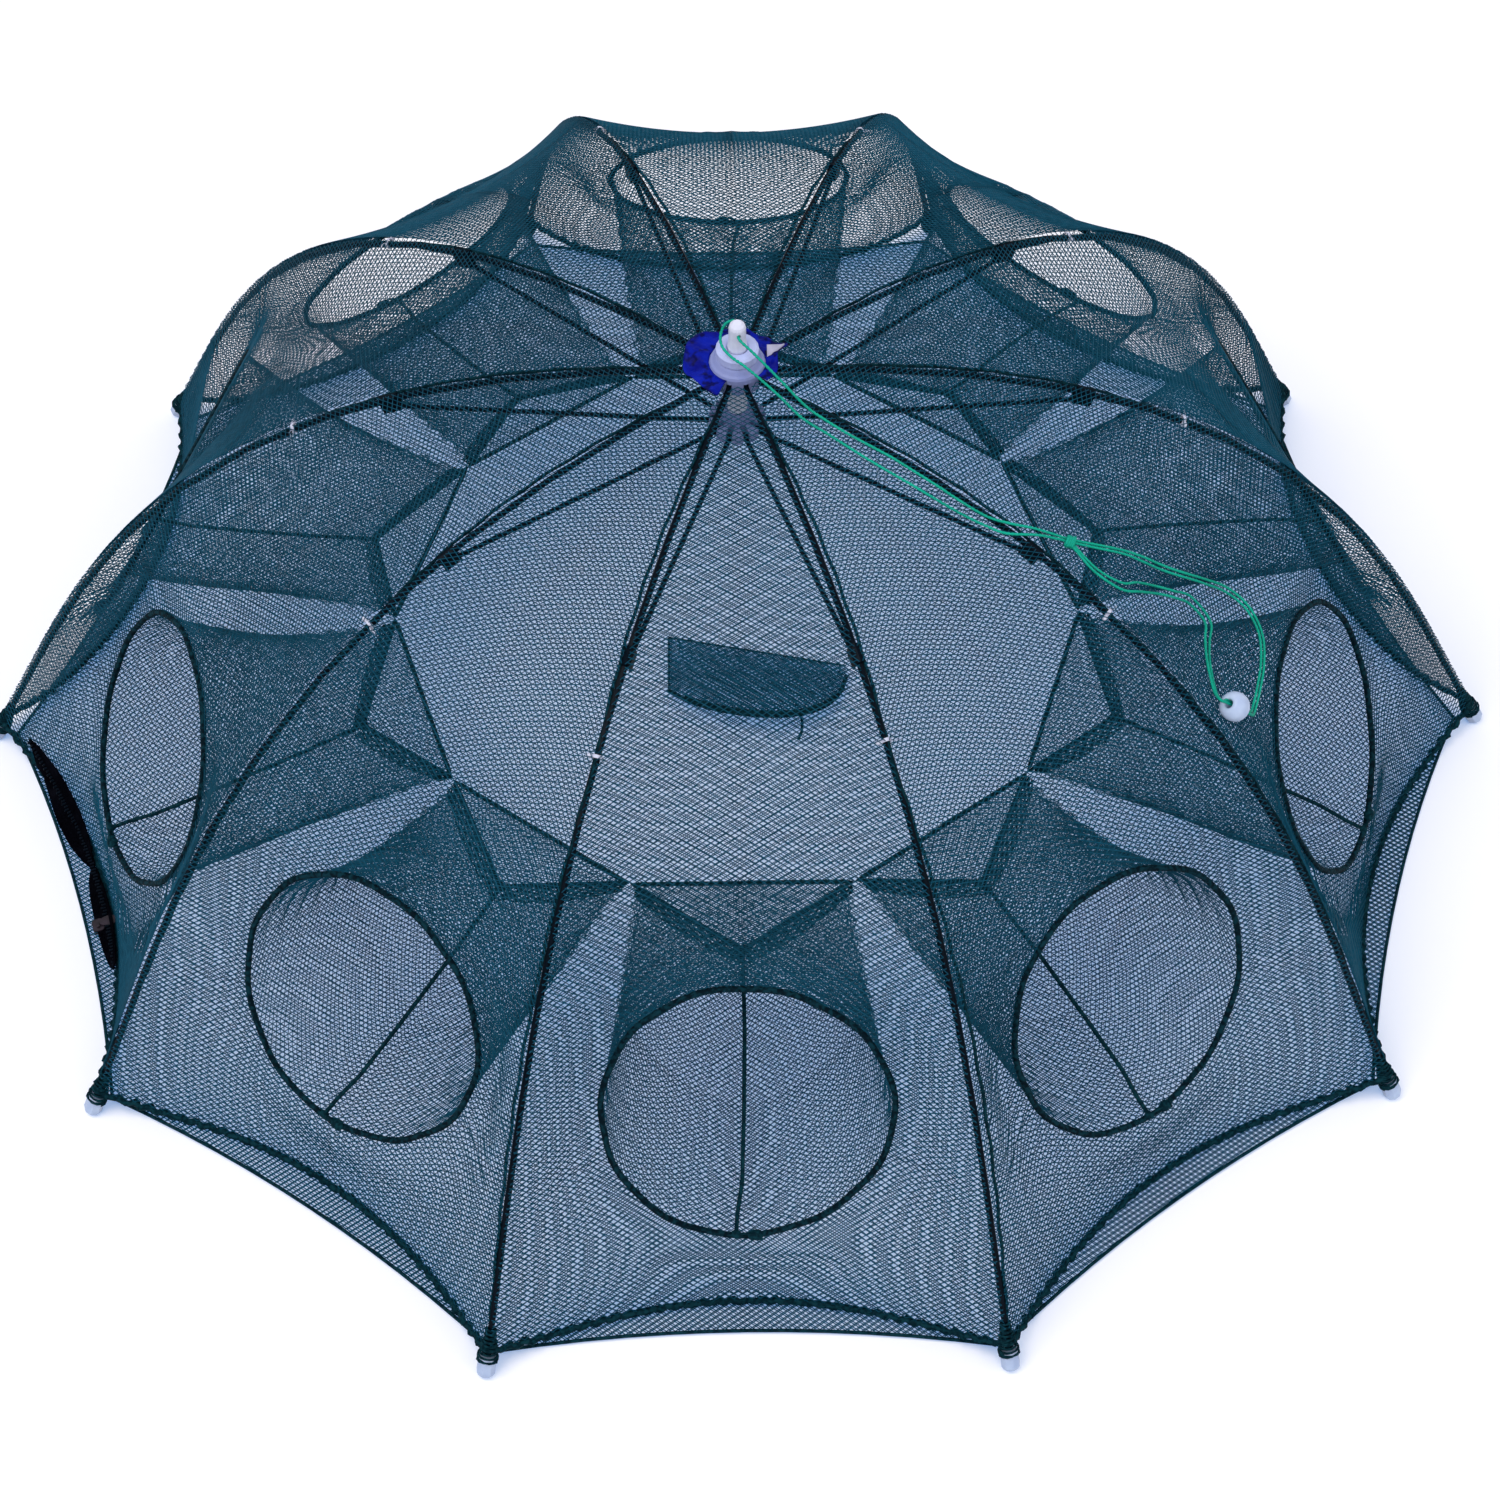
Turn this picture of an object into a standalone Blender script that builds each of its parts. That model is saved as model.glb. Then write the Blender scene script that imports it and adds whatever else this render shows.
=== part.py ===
import math

import bmesh
import bpy
from mathutils import Matrix, Vector
from mathutils.bvhtree import BVHTree

# A folding bait trap: ten sprung ribs on a crown, ten stretchers on a runner, and a net chamber.
# Metres, +Z up. The origin is on the ground under the crown, and -Y is the front.

GAP = 0.0003
WELD = 0.00001
SHARP_ANGLE = math.radians(35)
RIBS = 10
HALF_STEP = math.pi / RIBS

# Rib: a rod that leaves the crown nearly level and bows down to its tip
RIB_LENGTH = 0.6136
RIB_RADIUS = 0.0019
RIB_FIRST_SLOPE = math.radians(0.5)
RIB_LAST_SLOPE = math.radians(62.7)
RIB_BEND_LENGTH = 0.540
RIB_SEGMENTS = 11
ROD_START = 0.0065
TANG_OVERLAP = 0.0025
TANG_HEIGHT = 0.0030
EYE_RADIUS = 0.0032
EYE_THICKNESS = 0.0026
RING_WIRE_RADIUS = 0.0008
RUNNING_CLEARANCE = 0.0003
SLOT_CLEARANCE = 0.0003

# Clip on the rib that holds the stretcher
CLIP_AT = 0.1870
CLIP_LENGTH = 0.011
CLIP_WALL = 0.0010
CLIP_EAR = 0.0012
CLIP_PIN_RADIUS = 0.0010
CLIP_PIN_DROP = 0.0056

# Stretcher
STRETCHER_RADIUS = 0.0015
STRETCHER_EYE_RADIUS = 0.0026
STRETCHER_EYE_THICKNESS = 0.0028
STRETCHER_WALL = 0.0008

# Tip cap, on the rib's end
CAP_RADIUS = 0.0055
CAP_LENGTH = 0.0140
CAP_COVER = 0.0090
CAP_NOSE = 0.0030
CAP_NOSE_MIDDLE = 0.0010
CAP_NOSE_RADIUS = 0.0045
CAP_END_RADIUS = 0.0023
CAP_LIP = 0.0010
CAP_FOOT_CUT = 0.0010

# Crown and its retaining ring
CROWN_RADIUS = 0.0160
CROWN_TIER_RADIUS = 0.0122
CROWN_SKIRT = 0.0052
CROWN_SHOULDER = 0.0085
CROWN_TIER_FOOT = 0.0125
CROWN_HEIGHT = 0.0185
CROWN_EDGE = 0.0007
HUB_PIN_RADIUS = 0.0130

# Plunger and runner
PLUNGER_RADIUS = 0.0057
PLUNGER_CLEARANCE = 0.0003
NIPPLE_HEIGHT = 0.0190
NIPPLE_WAIST = 0.0049
NIPPLE_EYE_RADIUS = 0.0013
STUB_RADIUS = 0.0030
STUB_LENGTH = 0.0080
NIPPLE_FLARE = 0.0070
NIPPLE_DOME = 0.0036
NIPPLE_EYE_RISE = 0.0125
NIPPLE_EYE_FACES = math.radians(-80)
RUNNER_DROP = 0.0418
RUNNER_PIN_RADIUS = 0.0140
RUNNER_RADIUS = 0.0165
RUNNER_HALF_HEIGHT = 0.0045
RUNNER_CORE_RADIUS = 0.0081
RUNNER_NECK = 0.0060
RUNNER_CUP = 0.0060
RUNNER_EDGE = 0.0010

# Netting
NET_THICKNESS = 0.0008
NET_REST = 0.0014
ROOF_SAG = 0.0235
ROOF_SAG_FULL = 0.8
SEAM_FROM = 0.82
SEAM_SAG = 0.0135
SEAM_SAG_POWER = 6
SEAM_CORNER_POWER = 6
HOOP_BLOCK = 1.10
HOOP_COLUMNS = 4
HOOP_ROWS = 4
ROWS_ABOVE = 6
SIDE_COLUMN = 0.20
HOOP_RADIUS = 0.0800
HOOP_WIRE_RADIUS = 0.0020
HOOP_DOWN = 0.784
HOOP_TILT_SPAN = 0.08
HOOP_FLAT_START = 1.06
HOOP_FLAT_END = 1.45
HOOP_STEPS = 2 * (HOOP_COLUMNS + HOOP_ROWS)

# Funnel that leads in from each hoop
LIP_CORNER_RADIUS = 0.2110
LIP_HEIGHT = 0.1150
LIP_NOTCH = 0.0385
LIP_NOTCH_DROP = 0.0115
LIP_CORD_RADIUS = 0.0010
HOOP_SECTION = [math.radians(35 + 72.5 * i) for i in range(5)]
LIP_SECTION = [math.radians(270), 0.0, math.radians(90)]
FUNNEL_TOP_SAG = 0.0040
FUNNEL_BELLY = 0.0180
STRING_RADIUS = 0.0008
STRING_TILT = math.radians(14)

# Floor net
FLOOR_LIFT = 0.0005
FLOOR_THICKNESS = 0.0012
FLOOR_INSET = 0.0120
FLOOR_SAG = 0.0110
FLOOR_CELL = 0.0740
FLOOR_CORD = 0.0090
FLOOR_TRIM = 0.93

# Bait pocket on the floor: the middle of its back edge, and its size from there
POCKET_PLACE = (0.0130, 0.0640)
POCKET_WIDTH = 0.1120
POCKET_DEPTH = 0.0600
POCKET_SIDE_DEPTH = 0.0120
POCKET_HEIGHT = 0.0160
POCKET_COLUMNS = 10
POCKET_ROWS = 5

# Disc of sheet plastic round the crown, on the net
DISC_RADIUS = 0.0290
DISC_WAVE = 0.0022
DISC_RIPPLES = [(5, 0.6, 0.0), (9, 0.4, 1.0)]
DISC_RIM_RIPPLE = (3, 0.05, 2.0)
DISC_NOTCH = math.radians(70)
DISC_NOTCH_FACES = math.radians(12)
DISC_STEPS = 28

# Zip on the floor's rim, left of the front, and its slider
ZIP_GORE = 8
ZIP_START = -0.1100
ZIP_END = 0.0300
ZIP_INSET = 0.0070
ZIP_STATIONS = 14
ZIP_TAPE_WIDTH = 0.0120
ZIP_TAPE_END = 0.0060
ZIP_TAPE = 0.0009
ZIP_WAIST = 0.45
ZIP_WAIST_AT = 0.64
ZIP_WAIST_SPREAD = 0.07
ZIP_TEETH_WIDTH = 0.0034
ZIP_TEETH_HEIGHT = 0.0017
SLIDER_AT = 0.0220
SLIDER_LENGTH = 0.0080
SLIDER_WALL = 0.0011
TAB_LENGTH = 0.0110
TAB_WIDTH = 0.0040
TAB_THICKNESS = 0.0010

# Pull cord from the plunger's eye to its bead and back, lying on the roof
CORD_RADIUS = 0.0009
CORD_LIFT = 0.0009
CORD_STEP = 0.0140
CORD_PASSES = 4
CORD_HOOP_GAP = 0.0015
CORD_GORES = (1, 2)
BEAD_RADIUS = 0.0085
BEAD_BORE_RADIUS = 0.0019
BEAD_PLACE = (0.55779, -0.37418)
BEAD_HEADING = math.radians(10)
CORD_IN_BEAD = (1.9, 1.0, 0, -1.0, -1.9)

# The cord's route: near the plunger in metres, with heights above the crown's pin, and on
# the roof, like the bead's place, in shares of the ribs' reach
CORD_START = [
    (0.0004, -0.0025, 0.0310),
    (0.0012, -0.0068, 0.0306),
    (0.0075, -0.0112, 0.0265),
    (0.0150, -0.0158, 0.0205),
    (0.0232, -0.0210, 0.0138),
]
CORD_OUT = [
    (0.07905, -0.07167),
    (0.12501, -0.11257),
    (0.17518, -0.14461),
    (0.22935, -0.18509),
    (0.28480, -0.21797),
    (0.33687, -0.22345),
    (0.39041, -0.21734),
    (0.44648, -0.21755),
    (0.51036, -0.20975),
    (0.54872, -0.20069),
    (0.58182, -0.19289),
    (0.61028, -0.20069),
    (0.62609, -0.22556),
    (0.62567, -0.26140),
    (0.61660, -0.29934),
    (0.60501, -0.33729),
]
CORD_HOME = [
    (0.54809, -0.34993),
    (0.54282, -0.31621),
    (0.54387, -0.28459),
    (0.54598, -0.25929),
    (0.52701, -0.24559),
    (0.48696, -0.25613),
    (0.43889, -0.27615),
    (0.40685, -0.26878),
    (0.37945, -0.24664),
    (0.34572, -0.23926),
    (0.30588, -0.23715),
    (0.25571, -0.21755),
    (0.20132, -0.18593),
    (0.14609, -0.14714),
    (0.10519, -0.11615),
    (0.07441, -0.09022),
]
CORD_FINISH = [
    (0.0240, -0.0320, 0.0105),
    (0.0130, -0.0235, 0.0160),
    (0.0040, -0.0170, 0.0202),
    (-0.0035, -0.0115, 0.0222),
    (-0.0085, -0.0050, 0.0240),
    (-0.0092, 0.0015, 0.0265),
    (-0.0065, 0.0072, 0.0292),
    (-0.0014, 0.0080, 0.0308),
    (-0.0004, 0.0025, 0.0310),
]


def smooth(t):
    """A ramp from 0 to 1 that starts and ends level."""
    t = max(0.0, min(1.0, t))
    return t * t * (3 - 2 * t)


def rib_slope(s):
    return RIB_FIRST_SLOPE + (RIB_LAST_SLOPE - RIB_FIRST_SLOPE) * smooth(s / RIB_BEND_LENGTH)


def rib_point(s, steps=80):
    """Distance out and drop below the crown's pin, at length s along the rod."""
    out = drop = 0.0
    for i in range(steps):
        slope = rib_slope((i + 0.5) * s / steps)
        out += math.cos(slope) * s / steps
        drop += math.sin(slope) * s / steps
    return out, drop


# Cap profile along its axis, from the mouth to the nose: distance along, radius
CAP_BORE_RADIUS = RIB_RADIUS + RUNNING_CLEARANCE
CAP_END = [
    (CAP_LENGTH - CAP_NOSE, CAP_RADIUS),
    (CAP_LENGTH - CAP_NOSE_MIDDLE, CAP_NOSE_RADIUS),
    (CAP_LENGTH, CAP_END_RADIUS),
]

# Places that follow from the sizes above
CAP_LOW = max(
    (along - CAP_COVER) * math.sin(RIB_LAST_SLOPE) + radius * math.cos(RIB_LAST_SLOPE)
    for along, radius in CAP_END
)
TIP_HEIGHT = CAP_LOW - CAP_FOOT_CUT
TIP_OUT, TIP_DROP = rib_point(RIB_LENGTH)
HUB_PIN_HEIGHT = TIP_HEIGHT + TIP_DROP
TIP_RADIUS = HUB_PIN_RADIUS + TIP_OUT
CLIP_RADIUS = RIB_RADIUS + CLIP_WALL
NET_OFFSET = CLIP_RADIUS + NET_REST + NET_THICKNESS / 2
NET_FIRST = (CROWN_RADIUS + 2 * GAP) / math.cos(HALF_STEP) + NET_THICKNESS - HUB_PIN_RADIUS
NET_LAST = RIB_LENGTH - CAP_COVER - NET_OFFSET - 2 * GAP
FLOOR_TOP = FLOOR_LIFT + FLOOR_THICKNESS
CROWN_SLOT_HALF = EYE_THICKNESS / 2 + SLOT_CLEARANCE
FORK_HALF = max(STRETCHER_RADIUS, STRETCHER_EYE_THICKNESS / 2) + SLOT_CLEARANCE
RUNNER_HEIGHT = HUB_PIN_HEIGHT - RUNNER_DROP
NIPPLE_EYE_HEIGHT = HUB_PIN_HEIGHT + CROWN_HEIGHT + NIPPLE_EYE_RISE
NIPPLE_EYE_WAY = Vector((math.cos(NIPPLE_EYE_FACES), math.sin(NIPPLE_EYE_FACES), 0))


def clip_pivot():
    """Radius and height of the stretcher's pin, and the rod's slope there."""
    out, drop = rib_point(CLIP_AT)
    slope = rib_slope(CLIP_AT)
    radius = HUB_PIN_RADIUS + out - math.sin(slope) * CLIP_PIN_DROP
    height = HUB_PIN_HEIGHT - drop - math.cos(slope) * CLIP_PIN_DROP
    return radius, height, slope


def stretcher_line():
    """Length of the stretcher between its two pins, and its rise towards the rib."""
    radius, height, _ = clip_pivot()
    across = radius - RUNNER_PIN_RADIUS
    rise = height - RUNNER_HEIGHT
    return math.hypot(across, rise), math.atan2(rise, across)


def roof_edge(v):
    """Radius and height of the net above a rib, from the crown at v = 0 to the tip at v = 1."""
    s = NET_FIRST + (NET_LAST - NET_FIRST) * v
    out, drop = rib_point(s)
    slope = rib_slope(s)
    radius = HUB_PIN_RADIUS + out + math.sin(slope) * NET_OFFSET
    height = HUB_PIN_HEIGHT - drop + math.cos(slope) * NET_OFFSET
    return radius, height


SEAM_DROP = roof_edge(1.0)[1] - (FLOOR_TOP + 2 * GAP + ZIP_TAPE + NET_THICKNESS)


def roof_curve(u, v):
    """A point of the front gore: u runs from rib to rib, -1 to 1, and v runs down."""
    radius, height = roof_edge(v)
    across = 1 - u * u
    inward = across * (ROOF_SAG * smooth(v / ROOF_SAG_FULL) + SEAM_SAG * v**SEAM_SAG_POWER)
    lower = (1 - u**SEAM_CORNER_POWER) * SEAM_DROP * smooth((v - SEAM_FROM) / (1 - SEAM_FROM))
    x = u * (radius * math.sin(HALF_STEP) - GAP - NET_THICKNESS / 2)
    y = -(radius * math.cos(HALF_STEP) - inward)
    return Vector((x, y, height - lower))


def hoop_plane():
    """Centre of the hoop in the front gore, the way up its plane, and its outward normal."""
    centre = roof_curve(0, HOOP_DOWN)
    up = roof_curve(0, HOOP_DOWN - HOOP_TILT_SPAN) - roof_curve(0, HOOP_DOWN + HOOP_TILT_SPAN)
    up.normalize()
    return centre, up, Vector((1, 0, 0)).cross(up)


HOOP_CENTRE, HOOP_UP, HOOP_OUT = hoop_plane()


def roof_point(u, v):
    """roof_curve, drawn flat round the hoop so that the hoop lies in the net."""
    p = roof_curve(u, v)
    away = (p - HOOP_CENTRE).length / (HOOP_RADIUS + HOOP_WIRE_RADIUS)
    share = 1 - smooth((away - HOOP_FLAT_START) / (HOOP_FLAT_END - HOOP_FLAT_START))
    return p - HOOP_OUT * (p - HOOP_CENTRE).dot(HOOP_OUT) * share


def roof_place(x, y):
    """Where a grid point of the gore lies: columns and rows close in on the block of the hoop."""
    column = round((x + 1) / 2 * (HOOP_COLUMNS + 2))
    row = round((1 - y) / 2 * (ROWS_ABOVE + HOOP_ROWS + 1))
    inner = (column - 1) / HOOP_COLUMNS
    u = max(-1.0, min(1.0, (2 * inner - 1) * (1 - SIDE_COLUMN)))
    if column in (0, HOOP_COLUMNS + 2):
        u = math.copysign(1, column - 1)
    reach = HOOP_BLOCK * (HOOP_RADIUS + HOOP_WIRE_RADIUS) / (NET_LAST - NET_FIRST)
    top = HOOP_DOWN - reach
    if row <= ROWS_ABOVE:
        v = top * row / ROWS_ABOVE
    elif row <= ROWS_ABOVE + HOOP_ROWS:
        v = top + 2 * reach * (row - ROWS_ABOVE) / HOOP_ROWS
    else:
        v = 1.0
    return roof_point(u, v)


def material(name, colour, roughness, metallic=0.0):
    made = bpy.data.materials.new(name)
    made.use_nodes = True
    shader = made.node_tree.nodes["Principled BSDF"]
    shader.inputs["Base Color"].default_value = (*colour, 1)
    shader.inputs["Roughness"].default_value = roughness
    shader.inputs["Metallic"].default_value = metallic
    return made


def add(name, mesh, place, finish=None, at=None):
    """A new object in the collection place, with its mesh shaded and its material set."""
    made = bpy.data.objects.new(name, mesh)
    place.objects.link(made)
    if finish:
        mesh.materials.clear()
        mesh.materials.append(finish)
        mesh.shade_smooth()
        mesh.set_sharp_from_angle(angle=SHARP_ANGLE)
    if at:
        made.matrix_world = at
    return made


def mesh_of(bm, name):
    """The bmesh as a mesh with its faces pointing out."""
    bmesh.ops.recalc_face_normals(bm, faces=bm.faces)
    mesh = bpy.data.meshes.new(name)
    bm.to_mesh(mesh)
    bm.free()
    return mesh


def evaluated(shape):
    """The object's mesh with its modifiers applied. The object is removed."""
    graph = bpy.context.evaluated_depsgraph_get()
    mesh = bpy.data.meshes.new_from_object(shape.evaluated_get(graph))
    bpy.data.objects.remove(shape)
    return mesh


def welded(mesh):
    """The mesh with its loose caps and repeated points joined."""
    bm = bmesh.new()
    bm.from_mesh(mesh)
    bmesh.ops.remove_doubles(bm, verts=bm.verts, dist=WELD)
    return mesh_of(bm, mesh.name)


def combine(mesh, others, operation, work):
    """The mesh after a Boolean with each of the others in turn."""
    for other in others:
        body = add("body", mesh, work)
        tool = add("tool", other, work)
        modifier = body.modifiers.new("combine", "BOOLEAN")
        modifier.operation = operation
        modifier.object = tool
        mesh = evaluated(body)
        bpy.data.objects.remove(tool)
    return mesh


def tube(points, radius, work, closed=False, resolution=1, tilt=0.0):
    """A round rod along the points, with closed ends, as a mesh."""
    curve = bpy.data.curves.new("tube", "CURVE")
    curve.dimensions = "3D"
    curve.bevel_depth = radius
    curve.bevel_resolution = resolution
    curve.use_fill_caps = not closed
    spline = curve.splines.new("POLY")
    spline.points.add(len(points) - 1)
    spline.use_cyclic_u = closed
    for point, place in zip(spline.points, points):
        point.co = (*place, 1)
        point.tilt = tilt
    return welded(evaluated(add("tube", curve, work)))


def cylinder(radius, depth, centre, axis, sides=8):
    bm = bmesh.new()
    bmesh.ops.create_cone(
        bm, cap_ends=True, segments=sides, radius1=radius, radius2=radius, depth=depth
    )
    turn = Vector((0, 0, 1)).rotation_difference(Vector(axis)).to_matrix().to_4x4()
    bmesh.ops.transform(bm, matrix=Matrix.Translation(centre) @ turn, verts=bm.verts)
    return mesh_of(bm, "cylinder")


def block(size, centre):
    bm = bmesh.new()
    bmesh.ops.create_cube(bm, size=1)
    matrix = Matrix.Translation(centre) @ Matrix.Diagonal((*size, 1))
    bmesh.ops.transform(bm, matrix=matrix, verts=bm.verts)
    return mesh_of(bm, "block")


def turned(profile, steps, work):
    """A profile of radius and height, closed on itself, turned round Z."""
    bm = bmesh.new()
    verts = [bm.verts.new((radius, 0, height)) for radius, height in profile]
    for i, vert in enumerate(verts):
        bm.edges.new((vert, verts[(i + 1) % len(verts)]))
    mesh = bpy.data.meshes.new("turned")
    bm.to_mesh(mesh)
    bm.free()
    shape = add("turned", mesh, work)
    screw = shape.modifiers.new("screw", "SCREW")
    screw.steps = steps
    screw.render_steps = steps
    screw.use_merge_vertices = True
    screw.merge_threshold = WELD
    return welded(evaluated(shape))


def sheet(columns, rows, place, work):
    """A net panel: a grid placed by a formula of u, -1 to 1, and v, 0 to 1, and made thick."""
    bm = bmesh.new()
    bmesh.ops.create_grid(bm, x_segments=columns, y_segments=rows, size=1)
    for vert in bm.verts:
        vert.co = place(vert.co.x, (1 - vert.co.y) / 2)
    return thickened(bm, NET_THICKNESS, 0, work)


def thickened(bm, thickness, offset, work):
    """The open surface as a shell of even thickness."""
    shape = add("shell", mesh_of(bm, "shell"), work)
    wall = shape.modifiers.new("wall", "SOLIDIFY")
    wall.thickness = thickness
    wall.offset = offset
    wall.use_even_offset = True
    return evaluated(shape)


def loft(rings, closed, split=None):
    """Rings of points joined one after another: round and round if closed, or capped.

    With split, each side is two triangles, and their shared edge leans the other way from the
    ring's point number split on, so that a twisted skin's two walls are bent alike.
    """
    bm = bmesh.new()
    loops = [[bm.verts.new(p) for p in ring] for ring in rings]
    followers = loops[1:] + loops[:1] if closed else loops[1:]
    for a, b in zip(loops, followers):
        for i in range(len(a)):
            j = (i + 1) % len(a)
            if split is None:
                bm.faces.new((a[i], a[j], b[j], b[i]))
            elif i < split:
                bm.faces.new((a[i], a[j], b[j]))
                bm.faces.new((a[i], b[j], b[i]))
            else:
                bm.faces.new((a[i], a[j], b[i]))
                bm.faces.new((a[j], b[j], b[i]))
    if not closed:
        bm.faces.new(loops[0])
        bm.faces.new(loops[-1])
    return mesh_of(bm, "loft")


def to_gore(index):
    """Turn about Z that brings the front gore's shape to the gore number index."""
    return Matrix.Rotation(2 * HALF_STEP * index, 4, "Z")


def to_rib(index):
    """Turn about Z that brings a shape that points along +X to the rib number index."""
    return Matrix.Rotation(HALF_STEP * (2 * index + 1) - math.pi / 2, 4, "Z")


def rib_mesh(work):
    """Rod, crown eye and stretcher clip, with the crown's pin at the origin and +X out."""
    points = []
    for i in range(RIB_SEGMENTS + 1):
        out, drop = rib_point(ROD_START + (RIB_LENGTH - ROD_START) * i / RIB_SEGMENTS)
        points.append((out, 0, -drop))
    rod = tube(points, RIB_RADIUS, work)
    eye = cylinder(EYE_RADIUS, EYE_THICKNESS, (0, 0, 0), (0, 1, 0))
    reach = ROD_START + TANG_OVERLAP
    tang = block((reach, EYE_THICKNESS, TANG_HEIGHT), (reach / 2, 0, 0))
    eye = combine(eye, [tang], "UNION", work)
    hole = cylinder(RING_WIRE_RADIUS + RUNNING_CLEARANCE, 3 * EYE_THICKNESS, (0, 0, 0), (0, 1, 0), 6)
    eye = combine(eye, [hole], "DIFFERENCE", work)
    rib = combine(rod, [eye, clip_mesh(work)], "UNION", work)
    rib.name = "rib"
    return rib


def clip_mesh(work):
    """Sleeve on the rib with two ears below it and the pin that the stretcher turns on."""
    outside = FORK_HALF + CLIP_EAR
    ear_low = CLIP_PIN_DROP + CLIP_PIN_RADIUS + CLIP_EAR
    sleeve = cylinder(CLIP_RADIUS, CLIP_LENGTH, (0, 0, 0), (1, 0, 0))
    ears = block((CLIP_LENGTH, 2 * outside, ear_low), (0, 0, -ear_low / 2))
    clip = combine(sleeve, [ears], "UNION", work)
    slot_top = CLIP_PIN_DROP - max(STRETCHER_EYE_RADIUS, STRETCHER_RADIUS) - SLOT_CLEARANCE
    slot = block((2 * CLIP_LENGTH, 2 * FORK_HALF, ear_low), (0, 0, -slot_top - ear_low / 2))
    pin = cylinder(CLIP_PIN_RADIUS, 2 * FORK_HALF + CLIP_EAR, (0, 0, -CLIP_PIN_DROP), (0, 1, 0), 6)
    clip = combine(clip, [slot], "DIFFERENCE", work)
    clip = combine(clip, [pin], "UNION", work)
    out, drop = rib_point(CLIP_AT)
    clip.transform(Matrix.Translation((out, 0, -drop)) @ Matrix.Rotation(rib_slope(CLIP_AT), 4, "Y"))
    return clip


def stretcher_mesh(work):
    """Straight rod from the rib's pin at the origin, in and down to the runner."""
    length, rise = stretcher_line()
    way = Vector((-math.cos(rise), 0, -math.sin(rise)))
    first = CLIP_PIN_RADIUS + RUNNING_CLEARANCE + STRETCHER_WALL
    rod = tube([way * first, way * (length - STRETCHER_WALL)], STRETCHER_RADIUS, work)
    side = (0, 1, 0)
    outer = cylinder(STRETCHER_EYE_RADIUS, STRETCHER_EYE_THICKNESS, (0, 0, 0), side)
    inner = cylinder(STRETCHER_EYE_RADIUS, STRETCHER_EYE_THICKNESS, way * length, side, 6)
    rod = combine(rod, [outer, inner], "UNION", work)
    bore = cylinder(CLIP_PIN_RADIUS + RUNNING_CLEARANCE, 4 * FORK_HALF, (0, 0, 0), side, 6)
    rod = combine(rod, [bore], "DIFFERENCE", work)
    rod.name = "stretcher"
    return rod


def cap_mesh(work):
    """Moulded cap with a blind bore for the rod's end, and a flat foot on the ground."""
    bore_end = CAP_COVER + RUNNING_CLEARANCE
    profile = [(CAP_BORE_RADIUS, 0), (CAP_RADIUS - CAP_LIP, 0), (CAP_RADIUS, CAP_LIP)]
    profile += [(radius, along) for along, radius in CAP_END]
    profile += [(0, CAP_LENGTH), (0, bore_end), (CAP_BORE_RADIUS, bore_end)]
    cap = turned(profile, 8, work)
    turn = Matrix.Rotation(math.pi / 2 + RIB_LAST_SLOPE, 4, "Y")
    cap.transform(turn @ Matrix.Translation((0, 0, -CAP_COVER)))
    bm = bmesh.new()
    bm.from_mesh(cap)
    cut = bmesh.ops.bisect_plane(
        bm,
        geom=bm.verts[:] + bm.edges[:] + bm.faces[:],
        plane_co=(0, 0, -TIP_HEIGHT),
        plane_no=(0, 0, -1),
        clear_outer=True,
    )
    rim = [e for e in cut["geom_cut"] if isinstance(e, bmesh.types.BMEdge)]
    bmesh.ops.edgeloop_fill(bm, edges=rim)
    return mesh_of(bm, "tip_cap")


def slots(inner, outer, half, low, high):
    """Ten open slots for the ribs' or the stretchers' ends, as cutters."""
    made = []
    for i in range(RIBS):
        size = (outer - inner, 2 * half, high - low)
        slot = block(size, ((inner + outer) / 2, 0, (low + high) / 2))
        slot.transform(to_rib(i))
        made.append(slot)
    return made


def crown_mesh(work):
    """Bell with a bore for the plunger, ten slots for the ribs and the ring that holds them."""
    bore = PLUNGER_RADIUS + PLUNGER_CLEARANCE
    profile = [
        (bore, -CROWN_SKIRT),
        (CROWN_RADIUS - CROWN_EDGE, -CROWN_SKIRT),
        (CROWN_RADIUS, CROWN_EDGE - CROWN_SKIRT),
        (CROWN_RADIUS, CROWN_SHOULDER - 3 * CROWN_EDGE),
        (CROWN_RADIUS - CROWN_EDGE, CROWN_SHOULDER - CROWN_EDGE),
        (CROWN_RADIUS - 3 * CROWN_EDGE, CROWN_SHOULDER),
        (CROWN_TIER_RADIUS - CROWN_EDGE, CROWN_TIER_FOOT - 2 * CROWN_EDGE),
        (CROWN_TIER_RADIUS, CROWN_TIER_FOOT),
        (CROWN_TIER_RADIUS, CROWN_HEIGHT - 2 * CROWN_EDGE),
        (CROWN_TIER_RADIUS - 2 * CROWN_EDGE, CROWN_HEIGHT),
        (bore + CROWN_EDGE, CROWN_HEIGHT),
        (bore, CROWN_HEIGHT - CROWN_EDGE),
    ]
    crown = turned(profile, 20, work)
    inner = HUB_PIN_RADIUS - EYE_RADIUS - SLOT_CLEARANCE
    top = EYE_RADIUS + SLOT_CLEARANCE
    cuts = slots(inner, 2 * CROWN_RADIUS, CROWN_SLOT_HALF, -2 * CROWN_SKIRT, top)
    crown = combine(crown, cuts, "DIFFERENCE", work)
    ring = []
    for k in range(2 * RIBS):
        angle = HALF_STEP * k
        ring.append((HUB_PIN_RADIUS * math.cos(angle), HUB_PIN_RADIUS * math.sin(angle), 0))
    crown = combine(crown, [tube(ring, RING_WIRE_RADIUS, work, closed=True)], "UNION", work)
    crown.name = "crown"
    return crown


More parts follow.
